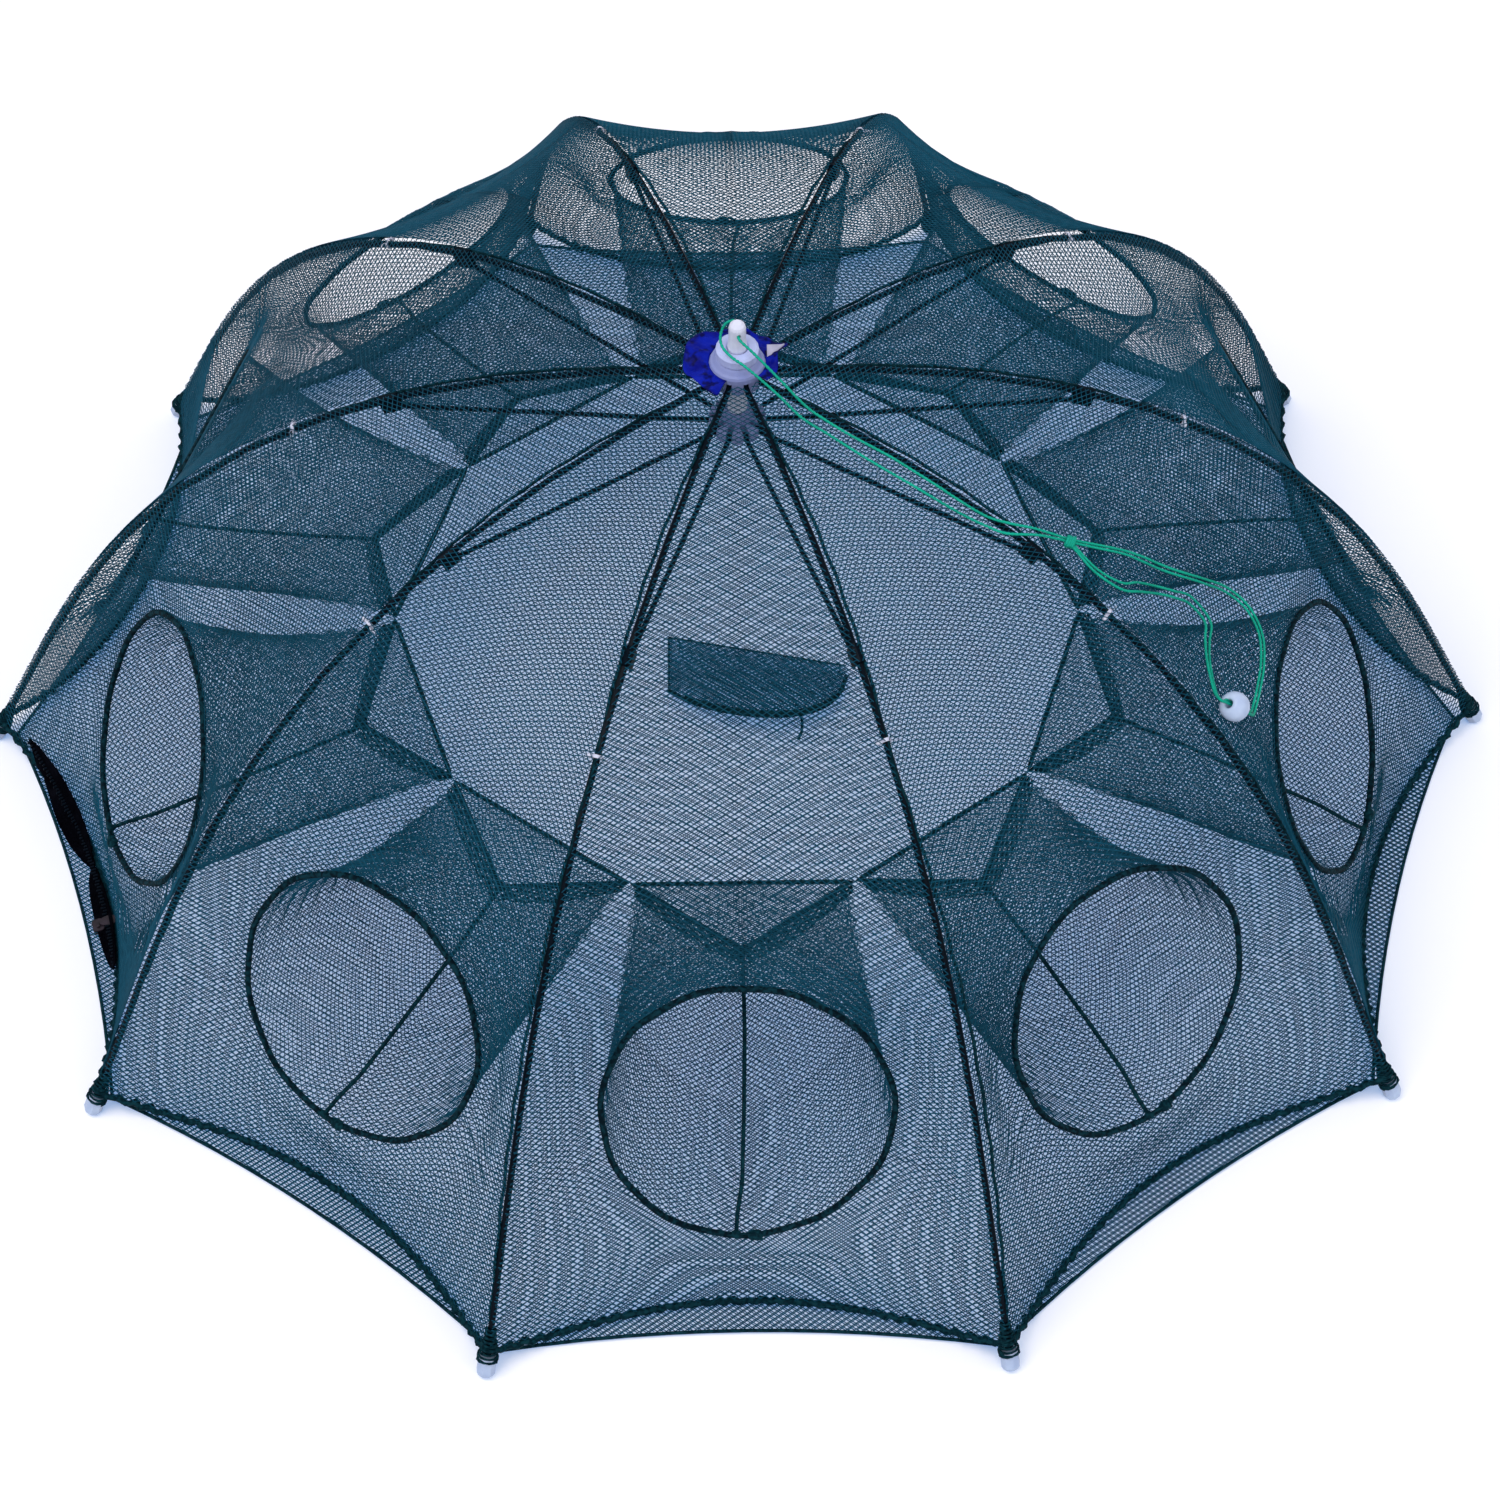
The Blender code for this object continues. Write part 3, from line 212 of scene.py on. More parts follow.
# shader maths: a socket that can be added to and multiplied
class Wire:
    def __init__(self, owner, socket):
        self.owner = owner
        self.socket = socket

    def __add__(self, other):
        return self.owner.node("Math", {0: self, 1: other}, {"operation": "ADD"})

    def __mul__(self, other):
        return self.owner.node("Math", {0: self, 1: other}, {"operation": "MULTIPLY"})

    __radd__ = __add__
    __rmul__ = __mul__

    def ramp(self, low, high):
        return self.owner.node("MapRange", {"Value": self, "From Min": low, "From Max": high},
                               {"interpolation_type": "SMOOTHSTEP"}, "Result")


class NodeTree:
    def __init__(self, tree):
        self.tree = tree

    # any node: its type, its sockets' values or links, its settings, which are set first, and its output
    def node(self, kind, values=None, settings=None, output=0):
        node = self.tree.nodes.new("ShaderNode" + kind)
        for name, value in (settings or {}).items():
            setattr(node, name, value)
        self.fill(node, values or {})
        return Wire(self, node.outputs[output])

    def fill(self, node, values):
        for name, value in values.items():
            slot = node.inputs[name]
            if isinstance(value, Wire):
                self.tree.links.new(value.socket, slot)
            elif slot.type == "RGBA":
                slot.default_value = (*value, 1)
            else:
                slot.default_value = value

    # one surface for the light that reaches the part, another where the stage itself is seen
    def finishStage(self, output, lit, seen):
        ray = self.node("LightPath", output="Is Camera Ray")
        self.fill(self.tree.nodes[output], {"Surface": self.node("MixShader", {0: ray, 1: lit, 2: seen})})


class Finish(NodeTree):
    def __init__(self, name):
        self.material = bpy.data.materials.new(name)
        self.material.use_nodes = True
        super().__init__(self.material.node_tree)
        self.shader = self.tree.nodes["Principled BSDF"]

    def place(self):
        return self.node("TexCoord", output="Object")

    def noise(self, scale, detail):
        values = {"Vector": self.place(), "Scale": scale, "Detail": detail}
        return self.node("TexNoise", values, output="Fac")

    def mix(self, share, a, b):
        return self.node("Mix", {0: share, 6: a, 7: b}, {"data_type": "RGBA"}, 2)


finish = {}


# grain: a noise's scale and detail and the ends of its ramp, which blends the two colours
# over: the same for a second pattern, then its share and colour
# bump: the pattern that is raised (a noise's own scale and detail, or one of those two), strength and depth
# more: what the grain adds to the roughness; shadeTiers: heights over the pins where painted shade ends:
# below them a piece takes the darker colour, as shade that grows towards the bottom, above them the paler
# one
def makeFinish(name, grain, colours, rough, gloss, more=0, shadeTiers=None, over=None, bump=None):
    made = Finish(name)
    scale, detail, low, high = grain
    patterns = {"grain": made.noise(scale, detail).ramp(low, high)}
    blend = patterns["grain"]
    # painted shade: the darker first colour is laid low on the piece, so it turns darker towards the bottom
    if shadeTiers:
        height = made.node("SeparateXYZ", {"Vector": made.place()}, output="Z")
        blend = height.ramp(*(pinHeight + rise for rise in shadeTiers))
    colour = made.mix(blend, *colours)
    if over:
        *pattern, share, overColour = over
        patterns["over"] = patterns["grain"]
        if len(pattern) == 4:
            scale, detail, low, high = pattern
            patterns["over"] = made.noise(scale, detail).ramp(low, high)
        colour = made.mix(patterns["over"] * share, colour, overColour)
    rough = rough + patterns["grain"] * more if more else rough
    made.fill(made.shader, {"Base Color": colour, "Roughness": rough, "Specular IOR Level": gloss})
    if bump:
        raised, strength, depth = bump
        height = patterns[raised] if raised in patterns else made.noise(*raised)
        normal = made.node("Bump", {"Height": height, "Strength": strength, "Distance": depth})
        made.fill(made.shader, {"Normal": normal})
    finish[name] = made.material


makeFinish("net", (9.0, 3.0, 0.35, 0.65), ((0.003, 0.05, 0.09), (0.0045, 0.068, 0.122)), rough=0.55,
           gloss=0.06, over=(260.0, 1.0, 0.3, 0.7, 0.5, (0.012, 0.106, 0.18)))
makeFinish("hem", (420.0, 2.0, 0.35, 0.65), ((0.001, 0.012, 0.02), (0.004, 0.034, 0.048)), rough=0.65,
           gloss=0.03, bump=("grain", 0.4, 0.0004))
makeFinish("hoop", (380.0, 3.0, 0.4, 0.62), ((0.0008, 0.006, 0.011), (0.0035, 0.028, 0.042)), rough=0.65,
           gloss=0.03, bump=("grain", 0.7, 0.0006))
makeFinish("rod", (60.0, 3.0, 0.3, 0.7), ((0.0006, 0.0036, 0.0085), (0.0018, 0.0048, 0.0105)), rough=0.3,
           more=0.16, gloss=0.05)
makeFinish("white", (70.0, 4.0, 0.3, 0.75), ((0.66, 0.68, 0.84), (0.58, 0.6, 0.77)), rough=0.34, more=0.12,
           gloss=0.3, bump=((900.0, 2.0), 0.15, 0.0002))
# lilac: its darker first colour is painted shade, laid below the heights over the pins
makeFinish("lilac", (150.0, 3.0, 0.3, 0.7), ((0.2, 0.24, 0.5), (0.46, 0.52, 0.84)), rough=0.36, more=0.12,
           gloss=0.3, shadeTiers=(0.0095, 0.0135), over=("grain", 0.25, (0.25, 0.27, 0.46)),
           bump=((900.0, 2.0), 0.15, 0.0002))
makeFinish("pearl", (110.0, 3.0, 0.3, 0.7), ((0.36, 0.45, 0.68), (0.47, 0.57, 0.78)), rough=0.3, more=0.15,
           gloss=0.35, bump=((700.0, 2.0), 0.12, 0.0002))
# blue: the near-black second colour, laid in noise patches, is painted shade standing for the shade in the
# sheet's folds
makeFinish("blue", (75.0, 3.0, 0.35, 0.65), ((0.0008, 0.003, 0.17), (0.0025, 0.012, 0.33)), rough=0.4,
           gloss=0.05, over=(160.0, 2.0, 0.5, 0.66, 0.85, (0.0006, 0.0006, 0.03)),
           bump=((210.0, 3.0), 0.8, 0.0014))
makeFinish("pale", (120.0, 3.0, 0.3, 0.7), ((0.3, 0.29, 0.42), (0.42, 0.41, 0.56)), rough=0.4, gloss=0.2)
makeFinish("green", (45.0, 2.0, 0.35, 0.65), ((0.002, 0.22, 0.15), (0.004, 0.32, 0.22)), rough=0.5,
           gloss=0.06, over=(1500.0, 2.0, 0.35, 0.65, 0.45, (0.016, 0.5, 0.37)),
           bump=("over", 0.35, 0.0002))
makeFinish("tape", (1400.0, 2.0, 0.35, 0.65), ((0.0004, 0.0004, 0.001), (0.0022, 0.0024, 0.0045)),
           rough=0.75, gloss=0.0, over=(70.0, 3.0, 0.45, 0.75, 0.5, (0.006, 0.0065, 0.011)),
           bump=("grain", 0.5, 0.0003))
makeFinish("metal", (300.0, 3.0, 0.3, 0.7), ((0.01, 0.006, 0.012), (0.03, 0.02, 0.034)), rough=0.4,
           more=0.2, gloss=0.3)
print("finishes made")

studio = {"floorSize": 30, "floorDrop": 0.0004, "floorColour": (0.85, 0.86, 0.9), "floorRough": 0.9,
    "litColour": (0.955, 0.81, 0.6), "shadeGlow": (0.055, 0.205, 0.5), "worldStrength": 0.72,
    "lamps": {"key": (34.0, 1.6, (-0.9, -0.6, 2.6)), "fill": (13.0, 2.4, (1.6, -1.4, 1.8))}}


def makeFloor():
    bm = bmesh.new()
    bmesh.ops.create_grid(bm, x_segments=1, y_segments=1, size=studio["floorSize"])
    bmesh.ops.translate(bm, verts=bm.verts, vec=(0, 0, -studio["floorDrop"]))
    mesh = bpy.data.meshes.new("floor")
    bm.to_mesh(mesh)
    bm.free()
    paper = Finish("paleFloor")
    paper.fill(paper.shader, {"Base Color": studio["floorColour"], "Roughness": studio["floorRough"],
                              "Specular IOR Level": 0.0})
    lit = paper.node("BsdfDiffuse", {"Color": studio["litColour"]})
    glow = paper.node("Emission", {"Color": studio["shadeGlow"], "Strength": 1.0})
    paper.finishStage("Material Output", Wire(paper, paper.shader.outputs[0]),
                      paper.node("AddShader", {0: lit, 1: glow}))
    mesh.materials.append(paper.material)
    addObject("floor", mesh)


def makeLight():
    scene.world = bpy.data.worlds.new("room")
    scene.world.use_nodes = True
    room = NodeTree(scene.world.node_tree)
    glows = [room.node("Background", {"Color": (1, 1, 1), "Strength": strength})
             for strength in (studio["worldStrength"], 1.0)]
    room.finishStage("World Output", *glows)
    for name, (energy, size, place) in studio["lamps"].items():
        data = bpy.data.lights.new(name, "AREA")
        data.energy = energy
        data.size = size
        placeFacing(addObject(name, data), place, Vector(place))


makeFloor()
makeLight()
print("camera, floor and lamps made")


# helpers for new pieces
def newPiece(name, mesh, look, body, replaced=None):
    mesh.name = name
    mesh.materials.clear()
    mesh.materials.append(finish[look])
    made = addObject(name, mesh)
    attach(made, body)
    if replaced:
        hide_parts(replaced)
    return made


def turned(mesh, angle):
    mesh.transform(Matrix.Rotation(angle, 4, "Z"))
    return mesh


def thicken(made, thickness):
    made.modifiers.new("wall", "SOLIDIFY").thickness = thickness


# gives a piece its own copy of its mesh
def gather(made):
    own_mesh(made)


# takes a net's flat width and length as it hangs, works out the length times the slack and keeps nothing
def cutNet(flat):
    flat[1] * twine["slack"]


def meshFrom(bm, rounded=False):
    bmesh.ops.recalc_face_normals(bm, faces=bm.faces)
    mesh = bpy.data.meshes.new("made")
    bm.to_mesh(mesh)
    bm.free()
    if rounded:
        mesh.shade_smooth()
    return mesh


def sectionOf(sides):
    curve = bpy.data.curves.new("section", "CURVE")
    curve.dimensions = "3D"
    spline = curve.splines.new("POLY")
    spline.points.add(sides - 1)
    spline.use_cyclic_u = True
    for i, point in enumerate(spline.points):
        angle = 2 * math.pi * i / sides
        point.co = (math.cos(angle), math.sin(angle), 0, 1)
    made = addObject("section", curve)
    made.hide_render = True
    return made


sections = {sides: sectionOf(sides) for sides in (3, 5, 8)}


# rods, cords and twine: closed tubes along lines of points
def tubes(lines, radius, sides=3):
    curve = bpy.data.curves.new("tubes", "CURVE")
    curve.dimensions = "3D"
    curve.bevel_mode = "OBJECT"
    profile = sections[sides]
    for point in profile.data.splines[0].points:
        way = Vector(point.co[:2]).normalized() * radius
        point.co = (way.x, way.y, 0, 1)
    curve.bevel_object = profile
    curve.use_fill_caps = True
    for line in lines:
        spline = curve.splines.new("POLY")
        spline.points.add(len(line) - 1)
        flat = np.ones((len(line), 4))
        flat[:, :3] = line
        spline.points.foreach_set("co", flat.ravel())
    made = addObject("tubes", curve)
    graph = bpy.context.evaluated_depsgraph_get()
    rough = bpy.data.meshes.new_from_object(made.evaluated_get(graph))
    bpy.data.objects.remove(made)
    bpy.data.curves.remove(curve)
    bm = bmesh.new()
    bm.from_mesh(rough)
    bpy.data.meshes.remove(rough)
    bmesh.ops.remove_doubles(bm, verts=bm.verts, dist=0.000001)
    return meshFrom(bm, True)


def joined(meshes):
    bm = bmesh.new()
    for mesh in meshes:
        bm.from_mesh(mesh)
    return meshFrom(bm, True)


# walls between rings of vertices, from each to the next
def skinRings(bm, rings):
    for a, b in rings:
        for k in range(len(a)):
            j = (k + 1) % len(a)
            bm.faces.new((a[k], a[j], b[j], b[k]))


# cuts a sampled line where its label changes, thins each run to points about step apart, and files it
def cutRuns(store, points, labels, step, spacing):
    start = 0
    for i in range(1, len(labels) + 1):
        if i < len(labels) and labels[i] == labels[start]:
            continue
        stop = i if i < len(labels) and labels[i] >= 0 else i - 1
        if labels[start] >= 0 and stop > start:
            pieces = max(1, round((stop - start) * spacing / step))
            picks = np.unique(np.round(np.linspace(start, stop, pieces + 1)).astype(int))
            store.setdefault(int(labels[start]), []).append(points[picks])
        start = i


# a net or trim made before the front gore, on one side of its middle, goes to each gore, where it rides
# on the rib of its side; pattern and replaced are names with a place for the gore's number
def onEachGore(pattern, base, look, keep, right=1, replaced=None, flat=None):
    for i in range(ribCount):
        k = i if right else (i - 1) % ribCount
        mesh = turned(base.copy(), 2 * halfStep * i)
        stoodFor = replaced and replaced.format(i + 1)
        made = newPiece(pattern.format(i + 1), mesh, look, f"rib_{k + 1:02d}", stoodFor)
        turn = ribTurn(k)
        gather(made)
        if flat:
            cutNet(flat)


# slack: the cut netting's area against the area that it covers once its meshes are pulled open
twine = {"radius": 0.00034, "across": 0.0051, "along": 0.0036, "step": 0.018, "sample": 0.001, "slack": 0.8,
    "roofThin": (0.9, 0.9, 0.9, 0.95, 0.97, 1.0), "funnelThin": (0.86, 0.75), "floorThin": 0.96}


# the roof and wall net: one piece for each rib and band, with half a gore to each side
def roofLines():
    halves = {}
    bands = roof["bands"]
    rows = np.arange(roof["first"], roof["last"] + twine["sample"], twine["sample"])
    rows[-1] = roof["last"]
    v = (rows - roof["first"]) / (roof["last"] - roof["first"])
    half = roofEdge(v)[0] * math.sin(halfStep) - roof["edgeGap"]
    reach = half.max() + (rows[-1] - rows[0]) * twine["across"] / twine["along"]
    count = math.ceil(reach / twine["across"])
    band = np.minimum(np.searchsorted(bands, v, side="right") - 1, len(bands) - 2)
    spacing = math.hypot(twine["sample"], twine["sample"] * twine["across"] / twine["along"])
    for way in (1, -1):
        for start in np.arange(-count, count + 1) * twine["across"]:
            u = (start + way * (rows - rows[0]) * twine["across"] / twine["along"]) / half
            inside = np.abs(u) <= 1
            if inside.sum() < 2:
                continue
            points = roofPlace(np.clip(u, -1, 1), v)
            labels = np.where(inside & ~inMouth(points), band * 2 + (u > 0), -1)
            cutRuns(halves, points, labels, twine["step"], spacing)
    return halves


def makeRoof():
    halves = roofLines()
    for band, (top, low) in enumerate(zip(roof["bands"], roof["bands"][1:])):
        u, v = np.broadcast_arrays(np.linspace(0, 1, 25)[None, :], np.linspace(top, low, 25)[:, None])
        p = roofPlace(u, v)
        area = float(cellAreas(p)[~inMouth(p[:-1, :-1])].sum())
        length = (low - top) * (roof["last"] - roof["first"])
        width = 2 * float(roofEdge(low)[0]) * math.sin(halfStep)
        lines = halves[band * 2 + 1] + [onNextGore(run) for run in halves[band * 2]]
        net = tubes(lines, twine["radius"] * twine["roofThin"][band])
        onEachGore(f"roofNet_{{:02d}}_{'abcdef'[band]}", net, "net", gathered(onMiddle((top + low) / 2)),
                   replaced=None if band else "gore_{:02d}", flat=(width, length))
    print("roof net made,", len(roof["bands"]) - 1, "bands")


makeRoof()


# the net's seams beside the ribs, which they meet at the ties, and the net bunched at each rib's tip
seam = {"start": 0.012, "end": 0.6, "points": 110, "lift": 0.0004, "radius": 0.001, "tie": 0.25,
    "inner": 0.0042, "shiver": 0.0004, "shivers": 190,
    "outer": (0.0062, 0.0024, -0.0024, 0.0026, -0.0024, 0.0026, -0.0024, 0.0024, 0.0026, -0.0036)}
bunch = {"start": 0.586, "end": 0.6085, "turns": 9, "narrow": 0.0026, "wide": 0.0058, "radius": 0.0006,
    "wave": 0.0003, "waves": 2.3, "shift": 0.0004}


def makeSeams():
    share = np.linspace(0, 1, 12 * bunch["turns"] + 1)
    out, height, slope = ribAt(bunch["start"] + (bunch["end"] - bunch["start"]) * share)
    turn = 2 * np.pi * bunch["turns"] * share
    wide = bunch["narrow"] + (bunch["wide"] - bunch["narrow"]) * smooth(share)
    wide = wide + bunch["wave"] * np.sin(turn * bunch["waves"])
    lift = wide * np.sin(turn)
    coil = np.stack([out + np.sin(slope) * lift, wide * np.cos(turn), height + np.cos(slope) * lift], -1)
    tip = tubes([coil, coil[::-1] * [1, -1, 1] + [0, 0, bunch["shift"]]], bunch["radius"], sides=5)
    s = np.linspace(seam["start"], seam["end"], seam["points"])
    out, height, slope = ribAt(s)
    sway = np.abs(np.sin(np.pi * np.interp(s, [0, seam["tie"], rib["length"]], [0, 1, 2])))
    for k in range(ribCount):
        side = 1 if k < ribCount / 2 else -1
        reach = np.where(s < seam["tie"], side * seam["inner"], seam["outer"][k]) * sway
        reach = reach + seam["shiver"] * np.sin(s * seam["shivers"] + k)
        lift = seam["lift"]
        line = np.stack([out + np.sin(slope) * lift, reach, height + np.cos(slope) * lift], -1)
        mesh = joined([tubes([line], seam["radius"], sides=5), tip.copy()])
        newPiece(f"ribSeam_{k + 1:02d}", turned(mesh, ribTurn(k)), "hem", f"rib_{k + 1:02d}")


# the hem from tip to tip, with the net's loops gathered on it
hem = {"radius": 0.0019, "keep": 0.15, "points": 61, "wobble": 0.0007, "waves": (2.1, 1.7), "loop": 0.0021,
    "loops": 0.9, "loopRise": 0.4, "loopRadius": 0.0008}


def makeHems():
    for right in (1, 0):
        u = np.linspace(0, 1, hem["points"]) * (1 if right else -1)
        line = roofPlace(u, np.ones_like(u))
        shake = np.arange(hem["points"])
        line[1:-1, 2] += hem["wobble"] * np.sin(shake * hem["waves"][0])[1:-1]
        line[1:-1, 1] += hem["wobble"] * np.cos(shake * hem["waves"][1])[1:-1]
        loops = []
        for way in (1, -1):
            loop = line.copy()
            wave = hem["loop"] * np.abs(np.sin(shake * hem["loops"] + way))[1:-1]
            loop[1:-1, 1] -= way * wave
            loop[1:-1, 2] += hem["loopRise"] * wave
            loops.append(loop)
        base = joined([tubes([line], hem["radius"], sides=5), tubes(loops, hem["loopRadius"])])
        onEachGore(f"roofHem_{'lr'[right]}_{{:02d}}", base, "hem", hem["keep"], right)


makeSeams()
makeHems()
print("seams and hems made")

# funnels, with their hoops, lips and strings
mouth = {"around": 98, "cellsAlong": 52, "samples": 181, "spacing": 0.0011, "bands": [0.0, 0.5, 1.0],
    "flatLength": 0.095, "wireRadius": 0.0018, "bends": ((0.012, 3, 1.2), (0.006, 11, 0.0)), "lip": 0.0015,
    "lipKeep": 0.05}
gathers = {"rows": 7, "first": 0.006, "reach": 0.055, "radius": 0.0006, "points": 40, "scallop": 0.3,
    "wave": 0.003, "waves": 37, "shift": 2.1, "fromEdge": 0.03}
string = {"radius": 0.0013, "keep": 0.2, "shares": (0, 0.3, 0.6, 0.82, 0.93, 1.0),
    "bends": (0, 0.0004, -0.0008, -0.0022, -0.0052, -0.006), "tailRadius": 0.0007,
    "tail": ((-0.006, 0, 0), (-0.002, -0.001, 0.0025), (0.004, -0.002, 0.003), (0.009, -0.0015, 0.0008)),
    "knot": 0.003, "knotSizes": (1.0, 0.9, 1.2), "knotShape": (1.3, 0.9, 0.75), "knotLumps": (0.0009, 500)}


def funnelLines():
    halves = {}
    w = np.linspace(0, 1, mouth["samples"])
    band = np.minimum(np.searchsorted(mouth["bands"], w, side="right") - 1, 1)
    twist = 2 * math.pi * mouth["cellsAlong"] / mouth["around"]
    for way in (1, -1):
        for k in range(mouth["around"]):
            turn = 2 * math.pi * k / mouth["around"] + way * twist * w
            points = funnelPlace(turn, w)
            cutRuns(halves, points, band * 2 + (points[:, 0] > 0), twine["step"], mouth["spacing"])
    return halves


def makeHoop(right, side, around):
    turns = around if right else math.pi - around
    bent = hoop["radius"] * (1 + ripple(mouth["bends"], turns))
    wire = tubes([hoopPlace(turns, bent[:, None])], mouth["wireRadius"], sides=8)
    onEachGore(f"hoop_{side}_{{:02d}}", wire, "hoop", gathered(hoopPlace(0.0) * [0, 1, 1]), right,
               replaced="entry_{:02d}" if right else None)


def makeLip(right, side):
    quarter = np.linspace(gathers["fromEdge"], 1, gathers["points"]) * math.pi / 2
    low = quarter + (1.5 if right else 1) * math.pi
    rows = []
    for m in range(gathers["rows"]):
        away = gathers["first"] + gathers["reach"] * (m + 0.5) / gathers["rows"]
        away = away * (1 - gathers["scallop"] + gathers["scallop"] * np.abs(np.sin(2 * low)))
        wave = gathers["wave"] * np.sin(low * gathers["waves"] + gathers["shift"] * m)
        rows.append(funnelPlace(low, 1 - away - wave))
    half = np.linspace(-math.pi / 2, math.pi / 2, 25) + (0 if right else math.pi)
    lip = joined([tubes([lipPlace(half)], mouth["lip"], sides=5), tubes(rows, gathers["radius"])])
    onEachGore(f"lip_{side}_{{:02d}}", lip, "hem", mouth["lipKeep"], right)


def makeFunnels():
    halves = funnelLines()
    length = mouth["flatLength"]
    around = np.linspace(-math.pi / 2, math.pi / 2, 49)
    for right, side in ((1, "r"), (0, "l")):
        makeHoop(right, side, around)
        makeLip(right, side)
        for band, (low, high) in enumerate(zip(mouth["bands"], mouth["bands"][1:])):
            middle = funnelPlace(0.0, (low + high) / 2) * [0, 1, 1]
            area = float(cellAreas(funnelPlace(around[None, :], np.linspace(low, high, 13)[:, None])).sum())
            net = tubes(halves[band * 2 + right], twine["radius"] * twine["funnelThin"][band])
            onEachGore(f"funnelNet_{side}{'ab'[band]}_{{:02d}}", net, "net", gathered(middle), right,
                       flat=(area / length, length))


# the string from the lip's notch to the hoop, with its knots and loose end
def makeStrings():
    low = 1.5 * math.pi
    top, bottom = lipPlace(low), hoopPlace(low)
    line = top + (bottom - top) * np.array(string["shares"])[:, None]
    line[:, 0] += string["bends"]
    tail = bottom + np.array(string["tail"])
    bm = bmesh.new()
    bm.from_mesh(tubes([line], string["radius"], sides=5))
    bm.from_mesh(tubes([tail], string["tailRadius"], sides=5))
    lump, often = string["knotLumps"]
    places = (top, bottom + [-0.006, 0, 0], bottom + [0.005, -0.001, 0.001])
    for place, size in zip(places, string["knotSizes"]):
        knot = bmesh.ops.create_icosphere(bm, subdivisions=2, radius=string["knot"] * size)["verts"]
        for vert in knot:
            vert.co += vert.co.normalized() * lump * noise.noise(vert.co * often)
        bmesh.ops.scale(bm, verts=knot, vec=string["knotShape"])
        bmesh.ops.translate(bm, verts=knot, vec=Vector(place))
    onEachGore("lipString_{:02d}", meshFrom(bm, True), "hem", string["keep"])


makeFunnels()
makeStrings()
print("hoops, funnels and strings made")

# floor net on the ground, in sectors, with its hem and the strip that shows past the wall
floor = {"inset": 0.012, "sag": 0.011, "height": 0.0011, "keep": 0.226, "reach": 0.47, "sample": 0.0005,
    "step": 0.4, "flat": 0.147, "hemRadius": 0.0011, "hemLift": 0.0004, "hemPoints": 7}
strip = {"height": 0.0024, "shift": 0.43, "inset": 0.0008, "under": 0.003, "flat": 0.128}


def scallop():
    corner = tipRadius - floor["inset"]
    half = corner * math.sin(halfStep)
    radius = (half ** 2 + floor["sag"] ** 2) / (2 * floor["sag"])
    return corner * math.cos(halfStep) - floor["sag"] + radius, radius


def fromMiddle(angle):
    return (np.asarray(angle) + halfStep) % (2 * halfStep) - halfStep


def floorEdge(angle):
    centre, radius = scallop()
    local = fromMiddle(angle)
    return centre * np.cos(local) - np.sqrt(radius ** 2 - (centre * np.sin(local)) ** 2)


# how far out the wall net meets the ground, by the angle from the gore's middle
def wallFoot(angle):
    p = roofPlace(np.linspace(-1, 1, 81), np.ones(81))
    return np.interp(fromMiddle(angle), np.arctan2(p[:, 0], -p[:, 1]), np.hypot(p[:, 0], p[:, 1]))


# strands of the floor net, or of its strip past the wall, by sector
def floorLines(skirt):
    sectors = {}
    reach = np.arange(-floor["reach"], floor["reach"], floor["sample"])
    lean = math.atan2(twine["across"], twine["along"])
    gap = twine["across"] * math.cos(lean)
    count = int(floor["reach"] / gap)
    for way in (1, -1):
        along = np.array([math.sin(way * lean), math.cos(way * lean)])
        across = np.array([along[1], -along[0]])
        for k in range(-count, count + 1):
            p = reach[:, None] * along + across * (k * gap)
            if skirt:
                p = p + across * (strip["shift"] * gap)
            angle = np.arctan2(p[:, 0], -p[:, 1])
            out = np.hypot(p[:, 0], p[:, 1])
            inside = out < floorEdge(angle)
            if skirt:
                inside = out < floorEdge(angle) - strip["inset"]
                inside &= out > wallFoot(angle) - strip["under"]
            labels = np.where(inside, np.floor(angle / halfStep).astype(int) % (2 * ribCount), -1)
            points = np.column_stack([p, np.full(len(p), (strip if skirt else floor)["height"])])
            cutRuns(sectors, points, labels, floor["step"], floor["sample"])
    return sectors


def makeFloorNet():
    sectors, skirts = floorLines(False), floorLines(True)
    turns = np.linspace(0, halfStep, 400)
    edges = floorEdge(turns) ** 2
    area = halfStep * float(np.mean(0.5 * edges))
    skirtArea = halfStep * float(np.mean(0.5 * (edges - (wallFoot(turns) - strip["under"]) ** 2)))
    for k in range(2 * ribCount):
        strands = tubes(sectors[k], twine["radius"] * twine["floorThin"])
        net = newPiece(f"floorNet_{k + 1:02d}", strands, "net", "runner", None if k else "floor_net")
        cutNet((floor["flat"], tipRadius))
        skirt = newPiece(f"skirtNet_{k + 1:02d}", tubes(skirts[k], twine["radius"]), "net", "runner")
        cutNet((strip["flat"], skirtArea / strip["flat"]))
        turn = np.linspace(k * halfStep, (k + 1) * halfStep, floor["hemPoints"])
        r = floorEdge(turn)
        height = np.full(len(r), floor["height"] + floor["hemLift"])
        line = np.column_stack([r * np.sin(turn), -r * np.cos(turn), height])
        cordOn = tubes([line], floor["hemRadius"], sides=5)
        trim = newPiece(f"floorHem_{k + 1:02d}", cordOn, "hem", "runner")
        for piece in (net, skirt, trim):
            gather(piece)
    print("floor net made,", 2 * ribCount, "sectors")


makeFloorNet()

